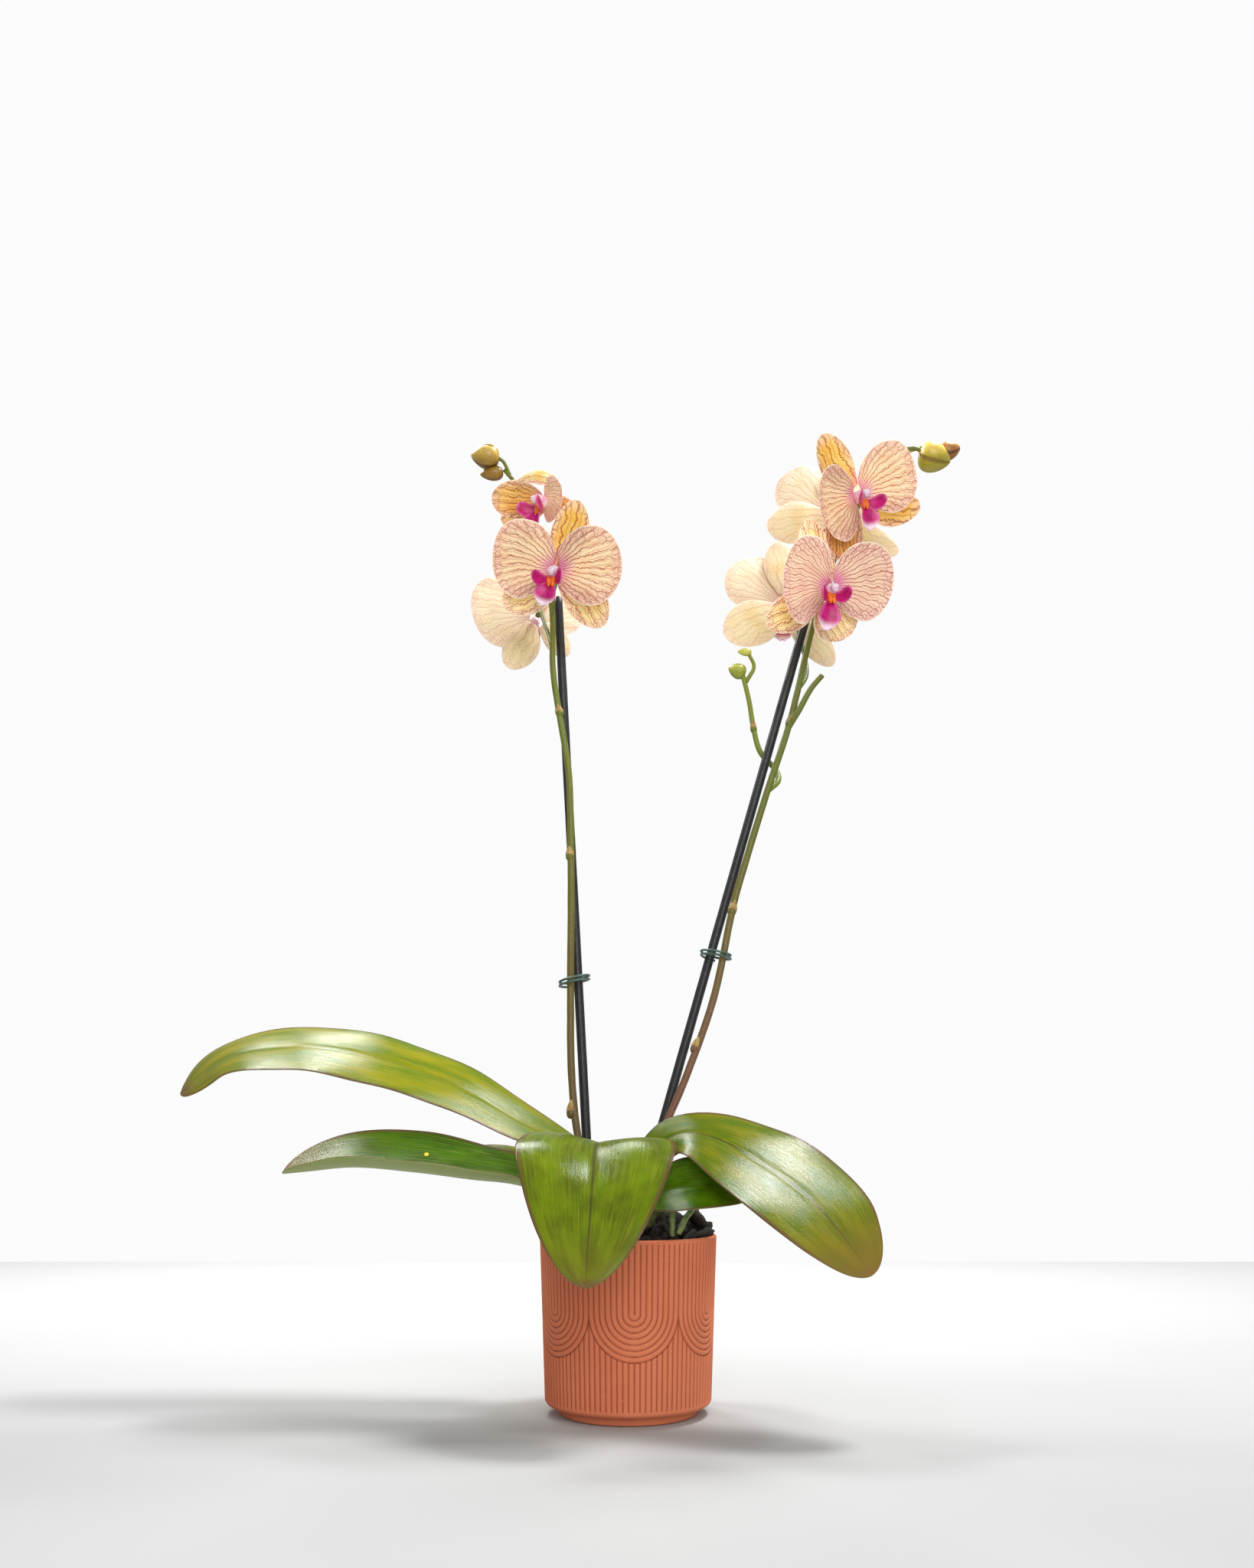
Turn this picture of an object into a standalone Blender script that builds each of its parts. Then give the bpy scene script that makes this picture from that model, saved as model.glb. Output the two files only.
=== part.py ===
"""A moth orchid (Phalaenopsis) growing in bark in a fluted terracotta cachepot.

Units are metres in the scene; the tables below are in millimetres because
that is how a plant is measured. +Z is up, +X is to the right, the plant is
seen from -Y. The origin is the middle of the pot's underside.
"""
import bpy
import math
from mathutils import Vector

MM = 0.001

# ---------------------------------------------------------------- dimensions
RIM_R = 62.5          # outside radius of the pot at the rim
RIM_Z = 120.6         # height of the rim
BELLY_R = 57.8        # outside radius where the flutes end, just over the foot
BELLY_Z = 9.5
FOOT_R = 47.6
WALL = 3.5
FLUTES = 96
FLUTE_DEPTH = 0.9

STAKE_R = 3.4
STAKE_Y = 10.5
STEM_R = 2.7
STEM_Y = 2.0
WIRE_R = 0.9
GAP = 0.3

LEAF_THICK = 2.2
TEPAL_THICK = 0.9
SIGHT = 24

COLOURS = {
    "terracotta": (0.53, 0.14, 0.06, 0.85),
    "bark": (0.02, 0.015, 0.012, 0.95),
    "root": (0.25, 0.33, 0.14, 0.6),
    "leaf": (0.10, 0.22, 0.03, 0.35),
    "stem": (0.17, 0.22, 0.05, 0.5),
    "stake": (0.012, 0.012, 0.012, 0.45),
    "clip": (0.02, 0.07, 0.03, 0.4),
    "sepal": (0.78, 0.52, 0.22, 0.5),
    "petal": (0.85, 0.66, 0.38, 0.5),
    "lip": (0.50, 0.02, 0.16, 0.4),
}

# ------------------------------------------------------------------- helpers
for old in list(bpy.data.objects):
    bpy.data.objects.remove(old, do_unlink=True)


def material(key):
    if key in bpy.data.materials:
        return bpy.data.materials[key]
    r, g, b, rough = COLOURS[key]
    mat = bpy.data.materials.new(key)
    mat.use_nodes = True
    shader = mat.node_tree.nodes["Principled BSDF"]
    shader.inputs["Base Color"].default_value = (r, g, b, 1.0)
    shader.inputs["Roughness"].default_value = rough
    shader.inputs["Metallic"].default_value = 0.0
    return mat


def solid(name, verts, faces, key, guide=False):
    """One object from points in millimetres."""
    mesh = bpy.data.meshes.new(name)
    mesh.from_pydata([tuple(c * MM for c in v) for v in verts], [], faces)
    mesh.validate()
    mesh.update()
    mesh.materials.append(material(key))
    mesh.shade_smooth()
    mesh.set_sharp_from_angle(angle=math.radians(40))
    ob = bpy.data.objects.new(name, mesh)
    bpy.context.collection.objects.link(ob)
    if guide:
        ob.hide_render = True
        ob.display_type = "WIRE"
    return ob


def boolean(body, tools, operation):
    for tool in tools:
        tool.hide_render = True
        tool.display_type = "WIRE"
        mod = body.modifiers.new(operation.title(), "BOOLEAN")
        mod.operation = operation
        mod.solver = "MANIFOLD"
        mod.object = tool
    return body


def through(points, t):
    """A smooth curve through the control points, t from 0 to 1."""
    pts = [Vector(p) for p in points]
    if len(pts) == 2:
        return pts[0].lerp(pts[1], t)
    s = t * (len(pts) - 1)
    i = min(int(s), len(pts) - 2)
    s -= i
    p1, p2 = pts[i], pts[i + 1]
    p0 = pts[i - 1] if i else p1 * 2 - p2
    p3 = pts[i + 2] if i + 2 < len(pts) else p2 * 2 - p1
    return 0.5 * (2 * p1 + (p2 - p0) * s + (2 * p0 - 5 * p1 + 4 * p2 - p3) * s * s
                  + (3 * p1 - p0 - 3 * p2 + p3) * s ** 3)


def along(points, fine=160):
    """The same curve measured by its own length: a function of u from 0 to 1."""
    line = [through(points, k / fine) for k in range(fine + 1)]
    run = [0.0]
    for a, b in zip(line, line[1:]):
        run.append(run[-1] + (b - a).length)

    def at(u):
        goal = max(0.0, min(1.0, u)) * run[-1]
        k = 0
        while k < fine - 1 and run[k + 1] < goal:
            k += 1
        return line[k].lerp(line[k + 1], (goal - run[k]) / max(run[k + 1] - run[k], 1e-9))

    return at


def outline(u, peak, blunt, claw, fill):
    """Half width along a blade, 0 to 1: narrow at the claw, widest at peak."""
    if u < peak:
        return claw + (1 - claw) * math.sin(math.pi / 2 * u / peak) ** fill
    return max(0.05, (1 - ((u - peak) / (1 - peak)) ** blunt) ** 0.55)


def blade_point(at, face, half, u, v, shape):
    """A point of the blade's upper face and the direction it faces there."""
    step = 0.02
    ahead = (at(min(1, u + step)) - at(max(0, u - step))).normalized()
    up = (face - ahead * face.dot(ahead)).normalized()
    side = ahead.cross(up)
    wide = (half[0] if v < 0 else half[1]) * outline(u, shape["peak"], shape["blunt"], shape["claw"],
                                                      shape["fill"])
    bend = math.radians(shape["cup"])
    if abs(bend) > 1e-3:
        out, rise = math.sin(bend * v) / bend, (1 - math.cos(bend * v)) / bend
    else:
        out, rise = v, 0.0
    rise += shape["keel"] * abs(v)
    slope = bend * v + math.atan(shape["keel"]) * max(-1.0, min(1.0, v * 4))
    place = at(u) + side * wide * out + up * wide * rise
    return place, up * math.cos(slope) - side * math.sin(slope)


def blade(name, spine, half, face, key, thick, rows=6, cols=4, peak=0.5, blunt=2.0,
          claw=0.3, cup=0.0, keel=0.0, guide=False, fill=1.4):
    """A leaf, petal or sepal: a closed sheet of even thickness."""
    at, face = along(spine), Vector(face).normalized()
    shape = dict(peak=peak, blunt=blunt, claw=claw, cup=cup, keel=keel, fill=fill)
    top, under = [], []
    for i in range(rows + 1):
        u = math.sin(math.pi / 2 * i / rows) ** 1.15
        for j in range(cols + 1):
            p, n = blade_point(at, face, half, u, 2 * j / cols - 1, shape)
            top.append(p)
            under.append(p - n * thick)
    wide, count = cols + 1, len(top)
    faces = []
    for i in range(rows):
        for j in range(cols):
            a = i * wide + j
            faces.append((a, a + wide, a + wide + 1, a + 1))
            faces.append((count + a, count + a + 1, count + a + wide + 1, count + a + wide))
    rim = ([j for j in range(wide)] + [i * wide + cols for i in range(1, rows + 1)]
           + [rows * wide + j for j in range(cols - 1, -1, -1)]
           + [i * wide for i in range(rows - 1, 0, -1)])
    for a, b in zip(rim, rim[1:] + rim[:1]):
        faces.append((a, b, count + b, count + a))
    # A blade's side vector is ahead x up, so this winding may face inwards.
    volume = 0.0
    pts = top + under
    for f in faces:
        for k in range(1, len(f) - 1):
            volume += pts[f[0]].dot(pts[f[k]].cross(pts[f[k + 1]]))
    if volume < 0:
        faces = [tuple(reversed(f)) for f in faces]
    return solid(name, pts, faces, key, guide)


def tube(name, path, radius, key, sides=8, steps=24, end=None, guide=False, closed_path=None):
    """A round stem along a smooth path; radius may taper to end."""
    at = along(path) if closed_path is None else closed_path
    end = radius if end is None else end
    verts, faces = [], []
    ref = None
    for k in range(steps + 1):
        u = k / steps
        ahead = (at(min(1, u + 0.5 / steps)) - at(max(0, u - 0.5 / steps))).normalized()
        if ref is None:
            ref = Vector((0, 1, 0)) if abs(ahead.y) < 0.8 else Vector((0, 0, 1))
        ref = (ref - ahead * ref.dot(ahead)).normalized()
        other = ahead.cross(ref)
        r = radius + (end - radius) * u
        for s in range(sides):
            a = 2 * math.pi * s / sides
            verts.append(at(u) + ref * math.cos(a) * r + other * math.sin(a) * r)
    for k in range(steps):
        for s in range(sides):
            a, b = k * sides + s, k * sides + (s + 1) % sides
            faces.append((a, b, b + sides, a + sides))
    faces.append(tuple(reversed(range(sides))))
    faces.append(tuple(range(steps * sides, (steps + 1) * sides)))
    return solid(name, verts, faces, key, guide)


def egg(name, centre, long_axis, length, width, key, point=0.25, sides=10, rings=6, guide=True):
    """A bud: an egg along long_axis, more pointed at its far end."""
    ahead = Vector(long_axis).normalized()
    ref = Vector((0, 1, 0)) if abs(ahead.y) < 0.8 else Vector((1, 0, 0))
    ref = (ref - ahead * ref.dot(ahead)).normalized()
    other = ahead.cross(ref)
    c = Vector(centre)
    verts = [c - ahead * length / 2]
    for i in range(1, rings):
        a = math.pi * i / rings
        r = width / 2 * math.sin(a) * (1 + point * math.cos(a))
        for s in range(sides):
            b = 2 * math.pi * s / sides
            verts.append(c - ahead * math.cos(a) * length / 2
                         + ref * math.cos(b) * r + other * math.sin(b) * r)
    verts.append(c + ahead * length / 2)
    last = len(verts) - 1
    faces = [(0, 1 + (s + 1) % sides, 1 + s) for s in range(sides)]
    for i in range(rings - 2):
        for s in range(sides):
            a, b = 1 + i * sides + s, 1 + i * sides + (s + 1) % sides
            faces.append((a, b, b + sides, a + sides))
    base = 1 + (rings - 2) * sides
    faces += [(last, base + s, base + (s + 1) % sides) for s in range(sides)]
    return solid(name, verts, faces, key, guide)


# ----------------------------------------------------------------------- pot
def pot():
    """Turned body with vertical flutes outside, smooth foot and smooth bore."""
    turns = FLUTES * 2
    # radius, height, whether the flutes show at this level
    outside = [(FOOT_R - 1.2, 0.0, 0), (FOOT_R, 1.2, 0), (BELLY_R - 4.0, 6.0, 0),
               (BELLY_R, BELLY_Z, 1), (RIM_R - 0.2, RIM_Z - 3.0, 1), (RIM_R, RIM_Z - 0.8, 0)]
    inside = [(RIM_R - WALL, RIM_Z, 0), (BELLY_R - WALL - 3.0, 10.0, 0)]
    rows = outside + inside
    verts, faces = [], []
    for r, z, fluted in rows:
        for k in range(turns):
            a = math.pi * k / FLUTES
            rr = r - FLUTE_DEPTH * fluted * (k % 2)
            verts.append((rr * math.cos(a), rr * math.sin(a), z))
    for i in range(len(rows) - 1):
        for k in range(turns):
            a, b = i * turns + k, i * turns + (k + 1) % turns
            faces.append((a, b, b + turns, a + turns))
    verts.append((0, 0, 0))
    verts.append((0, 0, 10.0))
    under, floor = len(verts) - 2, len(verts) - 1
    last = (len(rows) - 1) * turns
    for k in range(turns):
        faces.append((under, (k + 1) % turns, k))
        faces.append((floor, last + k, last + (k + 1) % turns))
    return solid("outer_pot", verts, faces, "terracotta")


def stake_line(base, top):
    return [Vector(base), Vector(top)]


STAKES = {
    "left": ((-22.7, STAKE_Y, 60), (-54, STAKE_Y, 600)),
    "right": ((-15.2, STAKE_Y, 60), (142, STAKE_Y, 600)),
}
CROWN = [(-6, -4, 96), (-6, -4, 120), (-6, -3, 150), (-6, -3, 160)]
CROWN_R = 8.0


def bark():
    """The bark mix: fills the bore, heaped to the right, drilled for what stands in it."""
    turns = 32
    rings = [(BELLY_R - WALL - 3.6, 10.6),
             (RIM_R - WALL - 1.3, 111.0)]

    def heap(x, y):
        return 112.0 + 11.0 * math.exp(-((x - 38) ** 2 + (y - 6) ** 2) / 620.0)

    verts, faces = [], []
    for r, z in rings:
        for k in range(turns):
            a = 2 * math.pi * k / turns
            verts.append((r * math.cos(a), r * math.sin(a), z))
    for r in (52.0, 38.0, 22.0, 9.0):
        for k in range(turns):
            a = 2 * math.pi * k / turns
            x, y = r * math.cos(a), r * math.sin(a)
            verts.append((x, y, heap(x, y)))
    total = len(rings) + 4
    for i in range(total - 1):
        for k in range(turns):
            a, b = i * turns + k, i * turns + (k + 1) % turns
            faces.append((a, b, b + turns, a + turns))
    verts += [(0, 0, 10.6), (0, 0, heap(0, 0))]
    low, high = len(verts) - 2, len(verts) - 1
    for k in range(turns):
        faces.append((low, (k + 1) % turns, k))
        faces.append((high, (total - 1) * turns + k, (total - 1) * turns + (k + 1) % turns))
    body = solid("bark_mix", verts, faces, "bark")
    chunks = [egg("chunk_a", (51, -4, 128), (0.3, 0.2, 1), 24, 19, "bark", 0.1),
              egg("chunk_b", (38, 8, 122), (1, 0.3, 0.2), 26, 20, "bark", 0.1),
              egg("chunk_c", (44, -18, 119), (0.4, 1, 0.1), 22, 17, "bark", 0.1),
              egg("chunk_d", (23, 3, 125), (1, 0.2, 0.1), 25, 22, "bark", 0.1),
              egg("chunk_e", (8, -24, 115), (1, 0.1, 0.1), 26, 17, "bark", 0.1)]
    boolean(body, chunks, "UNION")
    holes = []
    for side, (low_end, high_end) in STAKES.items():
        a, b = Vector(low_end), Vector(high_end)
        away = (b - a).normalized()
        holes.append(tube("hole_" + side, [a - away * 0.3, a + away * 110], STAKE_R + GAP,
                          "stake", 12, 2, guide=True))
    holes.append(tube("hole_crown", [(-6, -4, 95.7), (-6, -4, 120), (-6, -3, 150)],
                      CROWN_R + GAP, "stem", 12, 4, guide=True))
    boolean(body, holes, "DIFFERENCE")
    return body


pot()
bark()
tube("plant_crown", CROWN, CROWN_R, "stem", 12, 6, end=6.5)
tube("aerial_root_front", [(14, -16, 128), (22, -26, 142), (29, -33, 141), (30, -37, 131),
                           (30, -38, 122)], 2.4, "root", 8, 12, end=2.0)
tube("aerial_root_back", [(18, -8, 134), (34, -18, 144), (44, -27, 141), (39, -34, 133),
                          (34, -42, 124)], 2.4, "root", 8, 12, end=2.0)

# -------------------------------------------------------------------- leaves
# spine from the crown to the tip, half widths either side, which way it faces
LEAVES = {
    "leaf_upper_left": dict(
        spine=[(-10, 16, 150), (-34, 30, 175), (-81, 42, 201), (-131, 46, 228), (-194, 46, 249),
               (-252, 46, 257), (-305, 45, 248), (-337, 44, 220)],
        half=(37, 37), face=(0, -0.53, 0.85), cup=-14, keel=0.10, peak=0.6, blunt=2.2, claw=0.22),
    "leaf_lower_left": dict(
        spine=[(-16, -14, 134), (-38, -21, 146), (-76, -22, 158), (-110, -22, 162),
               (-150, -22, 167), (-195, -22, 170), (-241, -20, 164)],
        half=(27, 38), face=(0, -0.25, 1), cup=10, keel=0.42, peak=0.62, blunt=2.3, claw=0.22),
    "leaf_front": dict(
        spine=[(-6, -14, 160), (-14, -29, 178), (-21, -52, 185), (-23, -88, 161),
               (-25, -116, 122), (-26, -131, 98)],
        half=(56, 55), face=(0, -0.25, 1), cup=-26, keel=0.32, peak=0.38, blunt=1.3, claw=0.17),
    "leaf_right": dict(
        spine=[(6, -16, 160), (18, -20, 180), (36, -24, 191), (58, -34, 189), (83, -50, 176),
               (116, -70, 152), (138, -90, 126), (153, -101, 102)],
        half=(42, 41), face=(0.14, -0.66, 0.72), cup=-12, keel=0.10, peak=0.62, blunt=2.0,
        claw=0.18),
    "leaf_inner_right": dict(
        spine=[(8, -16, 141), (22, -34, 151), (42, -44, 156), (64, -46, 156), (86, -45, 152)],
        half=(21, 21), face=(-0.1, -0.82, 0.55), cup=8, keel=0.1, peak=0.5, blunt=2.0, claw=0.3),
    "leaf_back_left": dict(
        spine=[(-10, 18, 134), (-50, 40, 158), (-90, 50, 176), (-124, 54, 180)],
        half=(16, 16), face=(0, -0.35, 0.94), cup=-6, keel=0.1, peak=0.55, blunt=2.0, claw=0.35),
}
for leaf, data in LEAVES.items():
    blade(leaf, key="leaf", thick=LEAF_THICK, rows=9, cols=6, **data)


# -------------------------------------------------------------------- stakes
for side, (low_end, high_end) in STAKES.items():
    tube("stake_" + side, [low_end, high_end], STAKE_R, "stake", 12, 1)


def clip(name, middle, tilt):
    """Two turns of coated wire around a stem and its stake."""
    turns, pitch, across, deep = 2.0, 2.7, 10.8, 12.0

    def at(u):
        a = 2 * math.pi * turns * u + math.pi / 2
        x = across * math.cos(a)
        return Vector((middle[0] + x, middle[1] + deep * math.sin(a),
                       middle[2] + pitch * turns * (u - 0.5) + tilt * x))

    return tube(name, None, WIRE_R, "clip", 6, 40, closed_path=at)


clip("clip_left", (-39.4, 6.3, 302), 0.18)
clip("clip_right", (64.6, 6.3, 321), -0.22)

# ------------------------------------------------------------------- flowers
# centre, the way the flower faces, then each tepal as points (x, z, relief):
# x and z are read from the centre looking up at the flower from the front at
# SIGHT degrees, as the blooms nod over the pot; relief is out of the flower's
# own plane towards the side it faces.
FLOWERS = {
    "l1": dict(centre=(-53, -45, 595), face=(-0.18, -0.90, -0.36), parts=dict(
        dorsal_sepal=([(1, 5, -1), (12, 33, 0), (17, 55, 3)], (14, 14), 12),
        left_petal=([(-2, 3, 1.5), (-23, 10, 5), (-45, 11, 6)], (28, 28), 10),
        right_petal=([(3, 3, 1.5), (28, 5, 5), (50, 5, 6)], (28, 28), 10),
        left_lateral_sepal=([(-4, -5, -2), (-20, -17, -2), (-39, -24, 3)], (14, 14), 10),
        right_lateral_sepal=([(5, -5, -2), (23, -23, -2), (36, -41, 3)], (15, 15), 10)),
        lip=(-6, -14)),
    "l2": dict(centre=(-61, -32, 658), face=(-0.66, -0.66, -0.36), parts=dict(
        dorsal_sepal=([(-3, 10, -4), (-3, 23, 0), (-4, 26, 12)], (16, 16), 4),
        left_petal=([(-2, 0, 1.5), (-20, 2, 8), (-31, 3, 17)], (14, 14), 16),
        right_petal=([(3, 0, 1.5), (10, -1, 6), (17, -4, 13)], (16, 16), 24),
        left_lateral_sepal=([(-4, -5, -2), (-20, -10, 1), (-31, -14, 8)], (10, 10), 22),
        right_lateral_sepal=([(4, -5, -2), (12, -11, -1), (17, -26, 4)], (11, 11), 22)),
        lip=(-3, -12)),
    "l3": dict(centre=(-73, 38, 595), face=(-0.42, 0.90, -0.10), parts=dict(
        dorsal_sepal=([(0, 8, -1), (3, 24, 0), (6, 43, 4)], (13, 13), 10),
        left_petal=([(-4, 3, 2), (-26, 8, 4), (-46, 9, 7)], (30, 30), 10),
        right_petal=([(4, 1, 2), (20, 8, 4), (34, 16, 7)], (20, 20), 10),
        left_lateral_sepal=([(-3, -6, -2), (-9, -21, -2), (-20, -39, 2)], (14, 14), 10),
        right_lateral_sepal=([(4, -7, -2), (15, -18, -2), (26, -31, 2)], (12, 12), 10)),
        lip=(0, -14)),
    "r1": dict(centre=(170, -37, 659), face=(0.44, -0.82, -0.34), parts=dict(
        dorsal_sepal=([(-3, 5, -1), (-20, 25, 0), (-33, 44, 3)], (15, 15), 16),
        left_petal=([(-3, 0, 1.5), (-19, -7, 4), (-34, -13, 8)], (28, 28), 14),
        right_petal=([(3, 2, 1.5), (20, 13, 5), (41, 22, 9)], (27, 25), 14),
        left_lateral_sepal=([(-4, -6, -2), (-9, -30, -2), (-13, -54, 7)], (18, 18), 12),
        right_lateral_sepal=([(5, -4, -2), (28, -9, -2), (51, -6, 3)], (13, 13), 12)),
        lip=(4, -15)),
    "r2": dict(centre=(146, -45, 582), face=(0.22, -0.90, -0.36), parts=dict(
        dorsal_sepal=([(-2, 5, -1), (-1, 35, -29), (0, 58, -44)], (13, 13), 10),
        left_petal=([(-2, 3, 1.5), (-18, 7, 5), (-37, 8, 7)], (31, 31), 10),
        right_petal=([(3, 4, 1.5), (28, 6, 5), (46, 5, 7)], (28, 28), 10),
        left_lateral_sepal=([(-5, -5, -3), (-24, -16, -6), (-46, -27, 0)], (14, 14), 10),
        right_lateral_sepal=([(2, -8, -2), (6, -22, -2), (15, -37, 2)], (18, 18), 10)),
        lip=(-4, -18)),
    "r3": dict(centre=(162, 32, 681), face=(0.12, 0.97, -0.15), parts=dict(
        dorsal_sepal=([(1, 8, -2), (1, 21, -3), (0, 35, -1)], (12, 12), 8),
        left_petal=([(-4, 5, 2), (-22, 24, 4), (-38, 36, 7)], (25, 25), 10),
        right_petal=([(4, 3, 2), (24, 14, 4), (43, 22, 7)], (20, 20), 10),
        left_lateral_sepal=([(-4, -5, -2), (-27, -9, -3), (-51, -10, 1)], (20, 20), 10),
        right_lateral_sepal=([(4, -8, -2), (27, -24, -3), (50, -34, 1)], (13, 13), 10)),
        lip=(0, -14)),
    "r4": dict(centre=(126, 48, 610), face=(-0.12, 0.97, -0.18), parts=dict(
        dorsal_sepal=([(1, 8, -1), (-1, 32, 0), (-1, 57, 4)], (15, 15), 10),
        left_petal=([(-4, 5, 2), (-25, 24, 4), (-42, 37, 7)], (26, 26), 10),
        right_petal=([(4, 2, 2), (24, 10, 4), (44, 17, 7)], (22, 22), 10),
        left_lateral_sepal=([(-4, -6, -2), (-26, -15, -3), (-49, -26, 1)], (20, 20), 10),
        right_lateral_sepal=([(3, -7, -2), (18, -27, -3), (36, -50, 1)], (14, 14), 10)),
        lip=(0, -14)),
}


def on_face(flower, x, z, relief):
    """A point of the flower's tilted plane that shows at (x, z) from below in front."""
    n = Vector(flower["face"]).normalized()
    sight = Vector((0, math.cos(math.radians(SIGHT)), math.sin(math.radians(SIGHT))))
    depth = -(n.x * x + n.z * z) / n.dot(sight)
    return Vector(flower["centre"]) + Vector((x, 0, z)) + sight * depth + n * relief


def lip(name, flower):
    """Column, callus, two upright side lobes and the mid lobe: one grown piece."""
    n = Vector(flower["face"]).normalized()
    right = Vector((0, 0, 1)).cross(n).normalized() * (-1 if n.y < 0 else 1)
    right = right if right.x > 0 else -right
    up = n.cross(right)
    up = up if up.z > 0 else -up
    c = Vector(flower["centre"])
    sx, sz = flower["lip"]

    def at(x, y, r):
        return c + right * x + up * y + n * r

    column = egg(name, at(0, -0.5, 7.5), n * 0.9 + up * 0.45, 11, 6, "lip", 0.1, 6, 4, guide=False)
    callus = egg(name + "_callus", at(sx * 0.25, -5.5, 8.5), n * 0.7 - up, 11, 6, "lip", 0, 6, 4)
    mid = blade(name + "_mid", [at(sx * 0.3, -7, 8), at(sx * 0.7, sz * 0.9, 14),
                                at(sx * 1.2, sz * 1.6, 15)], (8, 8), n + up * 0.3, "lip", 1.4,
                3, 2, 0.45, 1.7, 0.35, 20, guide=True)
    lobes = [blade(name + "_lobe_%d" % s, [at(s * 2 + sx * 0.2, -5.5, 8), at(s * 8 + sx * 0.3, -4, 14),
                                           at(s * 11 + sx * 0.3, 1, 20)], (5.5, 5.5),
                   n * 0.5 - right * s, "lip", 1.3, 3, 2, 0.6, 2.2, 0.4, 15, guide=True)
             for s in (-1, 1)]
    return boolean(column, [callus, mid] + lobes, "UNION")


for tag, flower in FLOWERS.items():
    for part, (points, half, cup) in flower["parts"].items():
        petal = "petal" in part
        blade("flower_%s_%s" % (tag, part), [on_face(flower, *p) for p in points], half,
              flower["face"], "petal" if petal else "sepal", TEPAL_THICK, 6, 4,
              0.5, 2.4 if petal else 1.9, 0.2 if petal else 0.35, cup,
              fill=0.8 if petal else 1.0)
    lip("flower_%s_lip" % tag, flower)


# -------------------------------------------------------------------- spikes
def pedicel(name, start, tag, around=()):
    """From a node on the stem to just behind a flower, arching over or around."""
    flower = FLOWERS[tag]
    n = Vector(flower["face"]).normalized()
    goal = Vector(flower["centre"]) - n * 4.2
    a = Vector(start)
    middle = list(around) or [a.lerp(goal, 0.45) + Vector((0, 0, 5))]
    return tube(name, [a] + middle + [goal - n * 7, goal], 1.7, "stem", 6, 8, end=1.9,
                guide=True)


def spike(name, stem, end_r, branches, buds):
    main = tube(name, stem, STEM_R, "stem", 8, 26, end=end_r)
    return boolean(main, branches + buds, "UNION")


LEFT_STEM = [(-20, 0, 146), (-28, 1, 167), (-36, STEM_Y, 189), (-41, STEM_Y, 236),
             (-42, STEM_Y, 299), (-42, STEM_Y, 362), (-43, STEM_Y, 427), (-45, STEM_Y, 463),
             (-52, STEM_Y, 505), (-57, STEM_Y, 540), (-58, 1, 585), (-66, 2, 635), (-82, 4, 682),
             (-96, 4, 702)]
RIGHT_STEM = [(9, -6, 142), (17, -2, 172), (26, 1, 195), (44, STEM_Y, 237), (63, STEM_Y, 291),
              (77, STEM_Y, 355), (87, STEM_Y, 390), (104, STEM_Y, 444), (122, STEM_Y, 498),
              (138, STEM_Y, 563), (148, 0, 598), (166, 0, 646), (188, 0, 688), (208, 0, 712),
              (222, 0, 718), (231, 0, 713)]

spike("flower_spike_left", LEFT_STEM, 1.7, [
    pedicel("pedicel_l1", (-58, 1, 582), "l1"),
    pedicel("pedicel_l2", (-76, 3, 668), "l2"),
    pedicel("pedicel_l3", (-58, 1, 558), "l3"),
    tube("pedicel_bud_left", [(-92, 4, 698), (-97, 2, 708), (-104, 0, 711)], 1.5, "stem", 6, 4,
         guide=True),
], [
    egg("bud_left_a", (-111, 0, 711), (-1, 0, 0.1), 22, 19, "stem"),
    egg("bud_left_b", (-106, 4, 699), (-1, 0, -0.1), 18, 11, "stem"),
    egg("bract_left", (-43, STEM_Y, 396), (0, 0, 1), 12, 7, "stem", 0.1),
    egg("node_left", (-41, STEM_Y, 208), (0, 0, 1), 12, 7, "stem", 0.1),
])
spike("flower_spike_right", RIGHT_STEM, 1.7, [
    pedicel("pedicel_r1", (180, 0, 674), "r1"),
    pedicel("pedicel_r2", (148, 0, 600), "r2"),
    pedicel("pedicel_r3", (168, 0, 650), "r3"),
    pedicel("pedicel_r4", (128, STEM_Y, 522), "r4", [(137, 13, 540), (136, 28, 568)]),
    tube("stub", [(121, STEM_Y, 494), (128, -2, 505), (137, -4, 521), (146, -4, 532)], 2.3,
         "stem", 6, 6, guide=True),
    tube("side_branch", [(104, STEM_Y, 444), (113, 9, 454), (112, 19, 466), (101, 20, 480),
                         (96, 19, 499), (93, 19, 520), (88, 18, 542)], 2.3, "stem", 6, 10, end=1.8, guide=True),
    tube("pedicel_bud_right", [(218, 1, 716), (232, 2, 720), (246, 1, 716)], 1.4, "stem", 6, 4,
         guide=True),
    tube("branch_twig", [(91, 18, 535), (97, 18, 547), (93, 18, 558)], 1.6, "stem", 6, 4,
         guide=True),
], [
    egg("bud_right_a", (238, 0, 710), (1, 0, -0.3), 25, 23, "stem"),
    egg("bud_right_b", (250, 0, 716), (1, 0, 0.3), 17, 14, "stem"),
    egg("bud_branch_a", (84, 18, 544), (-1, 0, 0.4), 14, 12, "stem"),
    egg("bud_branch_b", (90, 18, 559), (-1, 0, 0.1), 11, 6, "stem"),
    egg("node_right_a", (49, STEM_Y, 254), (0.3, 0, 1), 12, 7, "stem", 0.1),
    egg("node_right_b", (77, STEM_Y, 355), (0.3, 0, 1), 12, 7, "stem", 0.1),
])
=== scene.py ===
"""Looks of a potted moth orchid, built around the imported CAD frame."""

import math
import random

import bpy
import numpy as np
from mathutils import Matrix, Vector, noise


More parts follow.
